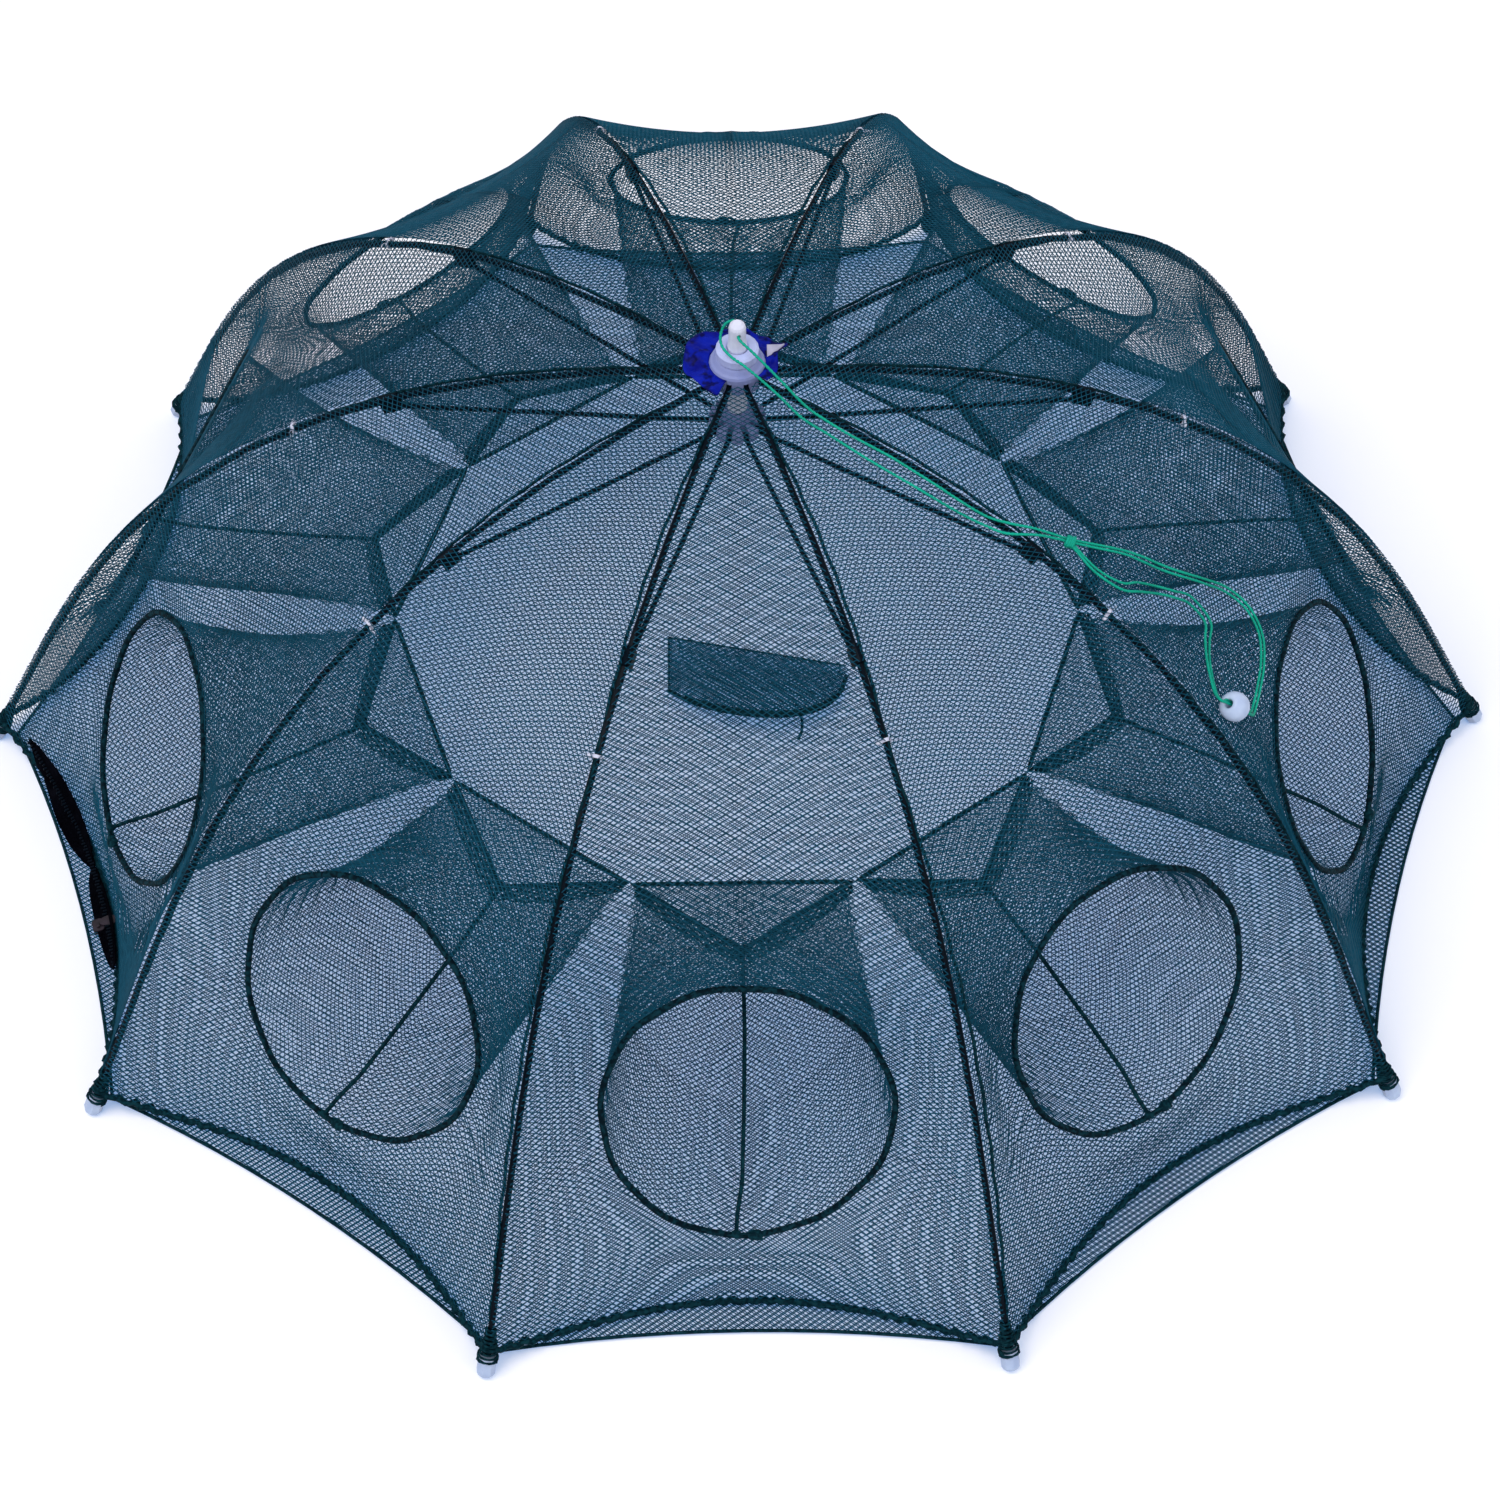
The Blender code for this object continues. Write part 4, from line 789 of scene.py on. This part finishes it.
# bait pocket: two layers of net, a drawn front edge and its tail
pocket = {"x": 0.0138, "y": 0.0596, "slant": 0.0126, "width": 0.1155, "depth": 0.0655, "deepest": -0.15,
    "reach": 1.16, "height": 0.016, "base": 0.0026, "layers": ((0.0, 0.0), (0.0011, 0.0017)),
    "across": 0.0046, "along": 0.0036, "strands": 34, "sample": 0.0005, "step": 0.009, "spacing": 0.0008,
    "radius": 0.00032, "cordRadius": 0.0014, "cordLift": 0.0004, "secondCord": (0, 0.0019, 0.0009),
    "edgeRadius": 0.0007, "tailAt": 0.46, "tailRadius": 0.001,
    "tail": ((0, 0.001, 0.0), (0.0012, -0.004, -0.002), (0.0008, -0.009, -0.0065),
             (-0.0016, -0.0135, -0.0095))}


def pocketFront(u):
    return pocket["depth"] * np.sqrt(np.clip(1 - ((u - pocket["deepest"]) / pocket["reach"]) ** 2, 0.004, 1))


def pocketPlace(u, v, lift=0.0):
    rise = (pocket["height"] - lift) * (1 - u * u) * smooth(v) + lift * 0.3
    x = pocket["x"] + u * pocket["width"] / 2
    y = pocket["y"] - pocket["slant"] * u - pocketFront(u) * v
    return np.stack([x, y, pocket["base"] + rise], -1)


def makePocket():
    strands = {}
    rows = np.arange(0, pocket["depth"] + pocket["sample"], pocket["sample"])
    for lift, shift in pocket["layers"]:
        for way in (1, -1):
            for k in range(-pocket["strands"], pocket["strands"] + 1):
                x = k * pocket["across"] + shift + way * rows * pocket["across"] / pocket["along"]
                u = x / (pocket["width"] / 2)
                front = pocketFront(u)
                inside = (np.abs(u) < 1) & (rows <= front)
                if inside.sum() < 3:
                    continue
                points = pocketPlace(np.clip(u, -1, 1), rows / np.maximum(front, 0.001), lift)
                cutRuns(strands, points, np.where(inside, 0, -1), pocket["step"], pocket["spacing"])
    net = newPiece("pocketNet", tubes(strands[0], pocket["radius"]), "net", "runner", "bait_pocket")
    depth = 2 * float(pocketFront(np.linspace(-1, 1, 400)).mean())
    cutNet((pocket["width"], depth))
    u = np.linspace(-1, 1, 33)
    front = pocketPlace(u, np.ones_like(u)) + [0, 0, pocket["cordLift"]]
    drawn = tubes([front, front[3:-2] + pocket["secondCord"]], pocket["cordRadius"], sides=8)
    newPiece("pocketCord", drawn, "hem", "runner")
    back = pocketPlace(u, np.zeros_like(u))
    side = pocketPlace(np.full(9, -1.0), np.linspace(0, 1, 9))
    newPiece("pocketBack", tubes([back, side], pocket["edgeRadius"], sides=5), "hem", "runner")
    tail = pocketPlace(np.array([pocket["tailAt"]]), np.array([1.0])) + np.array(pocket["tail"])
    newPiece("pocketTail", tubes([tail], pocket["tailRadius"], sides=5), "hem", "runner")


makePocket()
print("bait pocket made")

# zip: woven tape in two leaves, and its teeth; the first leaf runs to the waist
tape = {"turn": 16 * halfStep, "start": -0.12, "end": 0.058, "inset": 0.014, "width": 0.026,
    "second": 0.017, "waist": 0.56, "waistWidth": 0.004, "power": 0.6, "secondPower": 0.3, "base": 0.003,
    "cells": (72, 6), "lift": 0.0003, "ripple": 0.0006, "ripples": 40, "crown": 0.0008, "thickness": 0.0007,
    "overHem": 0.003, "hemWidth": 0.0045, "hemBack": 0.6, "hemRise": 0.8, "wallGap": 0.0022,
    "lean": math.radians(72)}
teeth = {"count": 76, "first": 0.01, "span": 0.98, "lift": 0.0017, "stagger": 0.0004,
    "size": (0.0013, 0.003, 0.0013), "bevel": 0.00025}
# each block of the slider: size, place and corner radius
slider = {"at": 0.022, "inset": 0.007, "tab": 0.0042, "tabShape": (0.8, 1.45, 1),
    "tabPlace": (0, 0.007, 0.004), "tabThick": 0.001, "tabSides": 20,
    "blocks": (((0.0088, 0.007, 0.0011), (0, 0, 0.0022), 0.0022),
               ((0.0088, 0.007, 0.0009), (0, 0, -0.001), 0.0022),
               ((0.0026, 0.002, 0.0036), (0.0026, 0, 0.0006), 0.0006),
               ((0.0048, 0.0016, 0.0014), (0, 0, 0.0035), 0.0005))}


# a place on the zip: outside the wall's foot it lies on the floor, inside it climbs the wall
def zipPlace(share, side):
    centre, radius = scallop()
    foot = roofPlace(np.linspace(-1, 1, 161), np.ones(161))
    footTurn = np.arctan2(foot[:, 0], foot[:, 1] + centre)
    x = tape["start"] + (tape["end"] - tape["start"]) * share
    angle = np.arcsin(x / (radius + tape["inset"]))
    reach = np.interp(angle, footTurn, np.hypot(foot[:, 0], foot[:, 1] + centre)) - radius
    rise = np.interp(angle, footTurn, foot[:, 2]) - tape["base"]
    at = tape["inset"] + side
    up = np.maximum(at - reach, 0)
    over = tape["overHem"] * np.exp(-((at - reach) / tape["hemWidth"]) ** 2)
    out = (radius + np.minimum(at, reach) + up * math.cos(tape["lean"]) - tape["hemBack"] * over
           - np.minimum(up, tape["wallGap"]))
    height = (tape["base"] + rise * smooth(at / np.maximum(reach, 0.001)) + up * math.sin(tape["lean"])
              + tape["hemRise"] * over)
    return np.stack([np.sin(angle) * out, np.cos(angle) * out - centre, height], -1)


def zipWidth(share):
    waist = tape["waist"]
    if share < waist:
        width = tape["width"] * math.sin(math.pi * share / waist) ** tape["power"]
    else:
        along = min(1.0, (share - waist) / (1 - waist))
        width = tape["second"] * math.sin(math.pi * along) ** tape["secondPower"]
    return max(width, tape["waistWidth"])


def makeTape():
    bm = bmesh.new()
    bmesh.ops.create_grid(bm, x_segments=tape["cells"][0], y_segments=tape["cells"][1], size=1)
    for vert in bm.verts:
        share, off = (vert.co.x + 1) / 2, abs(vert.co.y)
        rise = tape["lift"] + tape["ripple"] * math.sin(tape["ripples"] * share) * off
        place = zipPlace(np.array(share), np.array(vert.co.y * zipWidth(share) / 2))
        vert.co = place + [0, 0, rise + tape["crown"] * (1 - off)]
    made = newPiece("zipTape", turned(meshFrom(bm), tape["turn"]), "tape", "runner", "zipper")
    thicken(made, tape["thickness"])
    return made


def makeTeeth():
    bm = bmesh.new()
    for k in range(teeth["count"]):
        share = teeth["first"] + teeth["span"] * k / (teeth["count"] - 1)
        here, ahead = (zipPlace(np.array(share + step), np.array(0.0)) for step in (0, 0.002))
        turn = math.atan2(ahead[1] - here[1], ahead[0] - here[0])
        side = teeth["stagger"] * (1 if k % 2 else -1)
        place = (Matrix.Translation(here + [0, 0, teeth["lift"]]) @ Matrix.Rotation(turn, 4, "Z")
                 @ Matrix.Translation((0, side, 0)) @ Matrix.Diagonal((*teeth["size"], 1)))
        bmesh.ops.transform(bm, matrix=place, verts=bmesh.ops.create_cube(bm, size=1)["verts"])
    bmesh.ops.bevel(bm, geom=bm.edges[:], offset=teeth["bevel"], segments=1, affect="EDGES", profile=0.5,
                    material=-1)
    return newPiece("zipTeeth", turned(meshFrom(bm), tape["turn"]), "rod", "runner")


# the slider: a bridged body over the teeth, and its pull tab that hangs outwards
def makeSlider():
    bm = bmesh.new()
    for size, place, corner in slider["blocks"]:
        box = bmesh.ops.create_cube(bm, size=1)["verts"]
        bmesh.ops.scale(bm, verts=box, vec=size)
        edges = dict.fromkeys(e for v in box for e in v.link_edges)
        upright = [e for e in edges if abs(e.verts[0].co.z - e.verts[1].co.z) > size[2] / 2]
        bmesh.ops.translate(bm, verts=box, vec=place)
        bmesh.ops.bevel(bm, geom=upright, offset=corner, segments=4, affect="EDGES", profile=0.5,
                        material=-1)
    outline = {"cap_ends": True, "segments": slider["tabSides"], "radius": slider["tab"]}
    tab = [bmesh.ops.create_circle(bm, **outline)["verts"] for _ in range(2)]
    skinRings(bm, [tab])
    bmesh.ops.translate(bm, verts=tab[1], vec=(0, 0, slider["tabThick"]))
    bmesh.ops.scale(bm, verts=tab[0] + tab[1], vec=slider["tabShape"])
    bmesh.ops.translate(bm, verts=tab[0] + tab[1], vec=slider["tabPlace"])
    centre, radius = scallop()
    reach = radius + slider["inset"]
    angle = math.asin(slider["at"] / reach)
    mesh = meshFrom(bm)
    place = (math.sin(angle) * reach, math.cos(angle) * reach - centre, tape["base"])
    mesh.transform(Matrix.Translation(place) @ Matrix.Rotation(-angle, 4, "Z"))
    return newPiece("zipSlider", turned(mesh, tape["turn"]), "metal", "zip_slider", "zip_slider")


for zipPiece in (makeTape(), makeTeeth(), makeSlider()):
    gather(zipPiece)
print("zip made")

# crumpled blue sheet round the crown, with its notch and a spike on the rim
disc = {"inner": 0.016, "outer": 0.029, "notch": 70.0, "faces": 12.0, "height": 0.3392, "around": 150,
    "across": 12, "thickness": 0.0004, "lobes": ((0.05, 3, 2), (0.03, 7, 0)), "narrow": 0.92,
    "lopsided": 0.12, "spike": (0.24, 0.42, 0.13), "waves": ((0.00132, 5, 0), (0.00088, 9, 1)),
    "crease": (0.0016, 90), "crumple": (0.0012, 210), "crumpleFrom": (3, 1, 2), "rumpled": 2.5}
# the small pale film beside it
film = {"x": 0.0168, "y": 0.0108, "width": 0.0098, "drop": 0.0088, "lift": 0.0022, "fall": 0.0025,
    "bow": 0.0008, "cells": 6, "thickness": 0.0003}


def makeDisc():
    bm = bmesh.new()
    bmesh.ops.create_grid(bm, x_segments=disc["around"], y_segments=disc["across"], size=1)
    gap = math.radians(disc["notch"]) / 2
    spike, spikeAt, spikeWidth = disc["spike"]
    for vert in bm.verts:
        angle = math.pi + (math.pi - gap) * vert.co.x
        share = (vert.co.y + 1) / 2
        turn = angle - math.pi / 2 + math.radians(disc["faces"])
        edge = 1 + ripple(disc["lobes"], angle)
        edge *= (disc["narrow"] - disc["lopsided"] * math.cos(turn)
                 + spike * math.exp(-((turn - spikeAt) / spikeWidth) ** 2))
        radius = disc["inner"] + (disc["outer"] * edge - disc["inner"]) * share
        place = Vector((radius * math.cos(turn), radius * math.sin(turn), 0))
        fold = noise.noise(place * disc["crease"][1]) * disc["crease"][0]
        crumple = noise.noise(place * disc["crumple"][1] + Vector(disc["crumpleFrom"]))
        fold += abs(crumple) * disc["crumple"][0]
        rise = share * ripple(disc["waves"], angle) + fold * min(1.0, share * disc["rumpled"])
        vert.co = place + Vector((0, 0, disc["height"] + rise))
    made = newPiece("hubSheet", meshFrom(bm, True), "blue", "hub", "hub_disc")
    thicken(made, disc["thickness"])


def makeFilm():
    bm = bmesh.new()
    bmesh.ops.create_grid(bm, x_segments=film["cells"], y_segments=film["cells"], size=1)
    for vert in bm.verts:
        u, v = (vert.co.x + 1) / 2, (vert.co.y + 1) / 2
        drop = u * (1 - v)
        vert.co = (film["x"] + film["width"] * v, film["y"] - film["drop"] * drop,
                   disc["height"] + film["lift"] - film["fall"] * drop + film["bow"] * math.sin(3 * u))
    thicken(newPiece("hubFlap", meshFrom(bm), "pale", "hub"), film["thickness"])


makeDisc()
makeFilm()
print("hub sheet made")

# pull cord: its route from the plunger's eye to the bead and home, on the solid net
cord = {"radius": 0.0009, "lift": 0.0009, "step": 0.014, "passes": 4, "heading": 10.0,
    "bead": (0.2646, -0.1775), "inBead": (1.9, 1.0, 0, -1.0, -1.9), "pitch": 0.0052, "ring": 0.0012,
    "sides": 8, "plies": (0.8, 0.2), "fuller": 1.05, "knot": (0.18, -0.1095), "beside": 0.0019,
    "apart": (0.003, 0.0052), "clear": 2, "widen": 5, "close": 3, "sway": (0.25, 1.3),
    "foldAxis": (0.83, -0.56, 0), "keep": 0.22}
bead = {"radius": 0.0085, "length": 0.0072, "sides": 32, "waist": 0.0082,
    "profile": [(0.0026, 0.93), (0.0034, 0.99), (0.0052, 0.9), (0.0068, 0.7), (0.008, 0.4), (0.0084, 0.06)]}
knot = {"points": 41, "perTurn": 10, "sway": 0.3, "high": 2.1, "lumps": (0.15, 1.7), "length": 6.0,
    "wide": 2.0}
cordStart = [(0.0004, -0.0025, 0.031), (0.0012, -0.0068, 0.0306), (0.0075, -0.0112, 0.0265),
             (0.015, -0.0158, 0.0205), (0.0232, -0.021, 0.0138)]
cordOut = [(0.0375, -0.034), (0.0593, -0.0534), (0.0831, -0.0686), (0.1088, -0.0878), (0.1351, -0.1034),
           (0.1598, -0.1072), (0.181, -0.1078), (0.2118, -0.1032), (0.2421, -0.0995), (0.2603, -0.0952),
           (0.276, -0.0915), (0.2895, -0.0952), (0.297, -0.107), (0.2968, -0.124), (0.2925, -0.142),
           (0.287, -0.16)]
cordHome = [(0.26, -0.166), (0.2575, -0.15), (0.258, -0.135), (0.259, -0.123), (0.25, -0.1165),
            (0.231, -0.1215), (0.2082, -0.131), (0.193, -0.1245), (0.18, -0.1112), (0.161, -0.1118),
            (0.1451, -0.1125), (0.1213, -0.1032), (0.0955, -0.0882), (0.0693, -0.0698), (0.0499, -0.0551),
            (0.0353, -0.0428)]
cordFinish = [(0.024, -0.032, 0.0105), (0.013, -0.0235, 0.016), (0.004, -0.017, 0.0202),
              (-0.0035, -0.0115, 0.0222), (-0.0085, -0.005, 0.024), (-0.0092, 0.0015, 0.0265),
              (-0.0065, 0.0072, 0.0292), (-0.0014, 0.008, 0.0308), (-0.0004, 0.0025, 0.031)]


roofTrees = [BVHTree.FromPolygons([v.co for v in mesh.vertices], [p.vertices[:] for p in mesh.polygons])
             for mesh in (nodes["gore_02"].data, nodes["gore_03"].data)]


# the place and slope of the solid net that the cord lies on
def netBelow(x, y):
    for tree in roofTrees:
        hit, normal, _, _ = tree.ray_cast(Vector((x, y, 1)), Vector((0, 0, -1)))
        if hit:
            return hit, normal
    return None


def smoothRoute(points, step):
    route = []
    ends = [points[0]] + points + [points[-1]]
    for a, b, c, d in zip(ends, ends[1:], ends[2:], ends[3:]):
        pieces = max(1, round((c - b).length / step))
        for i in range(pieces):
            t = i / pieces
            square = (a * 2 - b * 5 + c * 4 - d) * t ** 2
            cube = (b * 3 - a - c * 3 + d) * t ** 3
            route.append((b * 2 + (c - a) * t + square + cube) / 2)
    route.append(points[-1])
    return route


def restOnRoof(route):
    lift = cord["radius"] + cord["lift"] / 2
    for _ in range(cord["passes"]):
        for a, b in zip(route, route[1:]):
            for share in (0, 0.25, 0.5, 0.75, 1):
                place = a.lerp(b, share)
                found = netBelow(place.x, place.y)
                if found:
                    rise = max(0.0, found[0].z + lift / found[1].z - place.z)
                    a.z += rise * (1 - share)
                    b.z += rise * share
    return route


def cordRoute():
    def onNet(places):
        found = [netBelow(x, y) for x, y in places]
        return [hit + normal * (cord["radius"] + cord["lift"]) for hit, normal in found]

    def overCrown(places):
        return [Vector((x, y, pinHeight + z)) for x, y, z in places]

    foot, normal = netBelow(*cord["bead"])
    heading = math.radians(cord["heading"])
    way = Vector((math.cos(heading), math.sin(heading), 0))
    way = (way - normal * way.dot(normal)).normalized()
    centre = foot + normal * (bead["radius"] + cord["lift"])
    points = overCrown(cordStart) + onNet(cordOut)
    points += [centre + way * bead["radius"] * share for share in cord["inBead"]]
    points += onNet(cordHome) + overCrown(cordFinish)
    return restOnRoof(smoothRoute(points, cord["step"])), centre, way


def wayAt(route, i, first, last):
    return (route[min(i + 1, last)] - route[max(i - 1, first)]).normalized()


# two plies of twine laid round each other along a route, as a free cord
def makePlied(name, route, radius, replaced=None):
    dense = smoothRoute(route, cord["ring"])
    bm = bmesh.new()
    side = Vector((0, 0, 1)).cross(dense[1] - dense[0]).normalized()
    walked = 0.0
    rings = []
    for i, p in enumerate(dense):
        way = wayAt(dense, i, 0, len(dense) - 1)
        side = (side - way * side.dot(way)).normalized()
        over = way.cross(side)
        if i:
            walked += (p - dense[i - 1]).length
        turn = 2 * math.pi * walked / cord["pitch"]
        ring = []
        for k in range(cord["sides"]):
            angle = 2 * math.pi * k / cord["sides"]
            reach = radius * (cord["plies"][0] + cord["plies"][1] * math.cos(2 * (angle - turn)))
            ring.append(bm.verts.new(p + reach * (side * math.cos(angle) + over * math.sin(angle))))
        rings.append(ring)
    skinRings(bm, zip(rings, rings[1:]))
    bm.faces.new(rings[0])
    bm.faces.new(rings[-1])
    made = newPiece(name, meshFrom(bm, True), "green", "hub", replaced)
    length = sum((b - a).length for a, b in zip(route, route[1:]))
    print(name, round(length, 3), "m")
    return made


def makeBead(centre, way):
    profile = bead["profile"] + [(bead["waist"], 0.0)] + [(r, -z) for r, z in reversed(bead["profile"])]
    bm = bmesh.new()
    turns = np.linspace(0, 2 * math.pi, bead["sides"] + 1)[:-1]
    rings = [[bm.verts.new((r * math.cos(a), r * math.sin(a), z * bead["length"])) for a in turns]
             for r, z in profile]
    skinRings(bm, zip(rings, rings[1:] + rings[:1]))
    mesh = meshFrom(bm, True)
    turn = Vector((0, 0, 1)).rotation_difference(way).to_matrix().to_4x4()
    mesh.transform(Matrix.Translation(centre) @ turn)
    return newPiece("cordBead", mesh, "pearl", "hub", "cord_bead")


# turns of cord wound round two strands where they are knotted together
def makeKnot(a, b, way, normal):
    side = (b - a).normalized()
    wide = (b - a).length / 2 + knot["wide"] * cord["radius"]
    line = []
    for i in range(knot["points"]):
        angle = 2 * math.pi * i / knot["perTurn"] + knot["sway"] * math.sin(i)
        high = knot["high"] * cord["radius"] * (1 + knot["lumps"][0] * math.sin(knot["lumps"][1] * i))
        along = (i / (knot["points"] - 1) - 0.5) * knot["length"] * cord["radius"]
        across = side * wide * math.cos(angle) + normal * high * math.sin(angle)
        line.append((a + b) / 2 + across + way * along)
    return newPiece("cordKnot", tubes([line], cord["radius"], sides=8), "green", "hub")


# the loop's second strand lies inside the first, from the knot to the bead and back
def secondStrand(route, first, inBead, last):
    second = []
    for i in range(first, last + 1):
        p = route[i]
        found = netBelow(p.x, p.y)
        up = found[1] if found else Vector((0, 0, 1))
        side = wayAt(route, i, first, last).cross(up).normalized()
        share = smooth((abs(i - inBead) - cord["clear"]) / cord["widen"])
        share *= min(1.0, min(i - first, last - i) / cord["close"])
        share *= 1 + cord["sway"][0] * math.sin(i * cord["sway"][1])
        reach = cord["apart"][0] if i < inBead else cord["apart"][1]
        second.append(p + side * (cord["beside"] + (reach - cord["beside"]) * share))
    return restOnRoof(second)


def makeCord():
    route, centre, beadWay = cordRoute()
    inBead = min(range(len(route)), key=lambda i: (route[i] - centre).length)
    spot = Vector(cord["knot"])
    first = min(range(inBead), key=lambda i: (route[i].xy - spot).length)
    last = min(range(inBead, len(route)), key=lambda i: (route[i].xy - spot).length)
    normal = netBelow(route[first].x, route[first].y)[1]
    onCord = [makeBead(centre, beadWay),
              makeKnot(route[first], route[last], wayAt(route, first, 0, len(route)), normal)]
    pullCord = makePlied("pullCord", route, cord["radius"] * cord["fuller"], "pull_cord")
    pullLoop = makePlied("pullLoop", secondStrand(route, first, inBead, last), cord["radius"])
    for piece in (pullCord, pullLoop, *onCord):  # each piece gets its own copy of its mesh
        gather(piece)


makeCord()

# white thread ties on the ribs, each at its own distance along its rib
tie = {"knot": (0.0015, 0.0022, 0.0014), "knotPlace": (0.0002, -0.004, 0.0012), "lumps": (0.12, 2.2),
    "ring": 0.0027, "thread": 0.00045, "turns": 3, "length": 0.0018, "endThread": 0.00036,
    "end": ((0.001, 0.0024, 0.0016), (0.0016, 0.0042, 0.0018), (0.001, 0.0062, 0.0012),
            (0.0014, 0.0078, 0.0004)), "endRise": 0.0003,
    "at": (0.237, 0.241, 0.25, 0.24, 0.2515, 0.262, 0.25, 0.248, 0.2435, 0.2445)}


def makeTies():
    turn = np.linspace(0, 2 * math.pi * tie["turns"], 12 * tie["turns"] + 1)
    coil = np.column_stack([tie["length"] * (turn / turn[-1] - 0.5), tie["ring"] * np.cos(turn),
                            tie["ring"] * np.sin(turn)])
    for k in range(ribCount):
        bm = bmesh.new()
        lump = bmesh.ops.create_icosphere(bm, subdivisions=2, radius=1)["verts"]
        for vert in lump:
            rough = noise.noise(vert.co * tie["lumps"][1] + Vector((k, 0, 0)))
            vert.co += vert.co.normalized() * tie["lumps"][0] * rough
        place = Matrix.Translation(tie["knotPlace"]) @ Matrix.Diagonal((*tie["knot"], 1))
        bmesh.ops.transform(bm, matrix=place, verts=lump)
        end = np.array(tie["end"])
        end[2, 2] += tie["endRise"] * math.sin(k)
        bm.from_mesh(tubes([coil], tie["thread"], sides=5))
        bm.from_mesh(tubes([end], tie["endThread"], sides=5))
        mesh = meshFrom(bm, True)
        out, height, slope = (float(x) for x in ribAt(tie["at"][k]))
        mesh.transform(Matrix.Translation((out, 0, height)) @ Matrix.Rotation(slope, 4, "Y"))
        newPiece(f"threadTie_{k + 1:02d}", turned(mesh, ribTurn(k)), "white", f"rib_{k + 1:02d}")


makeTies()
print("ties made")

# solids that stay, with their finishes
solidLooks = {"rib": "rod", "stretcher": "rod", "tip": "pearl", "crown": "lilac", "runner": "lilac",
    "plunger": "white"}
for name, node in nodes.items():
    look = solidLooks.get(name.split("_")[0])
    for slot in node.material_slots if look else ():
        slot.material = finish[look]
for section in sections.values():
    bpy.data.objects.remove(section)
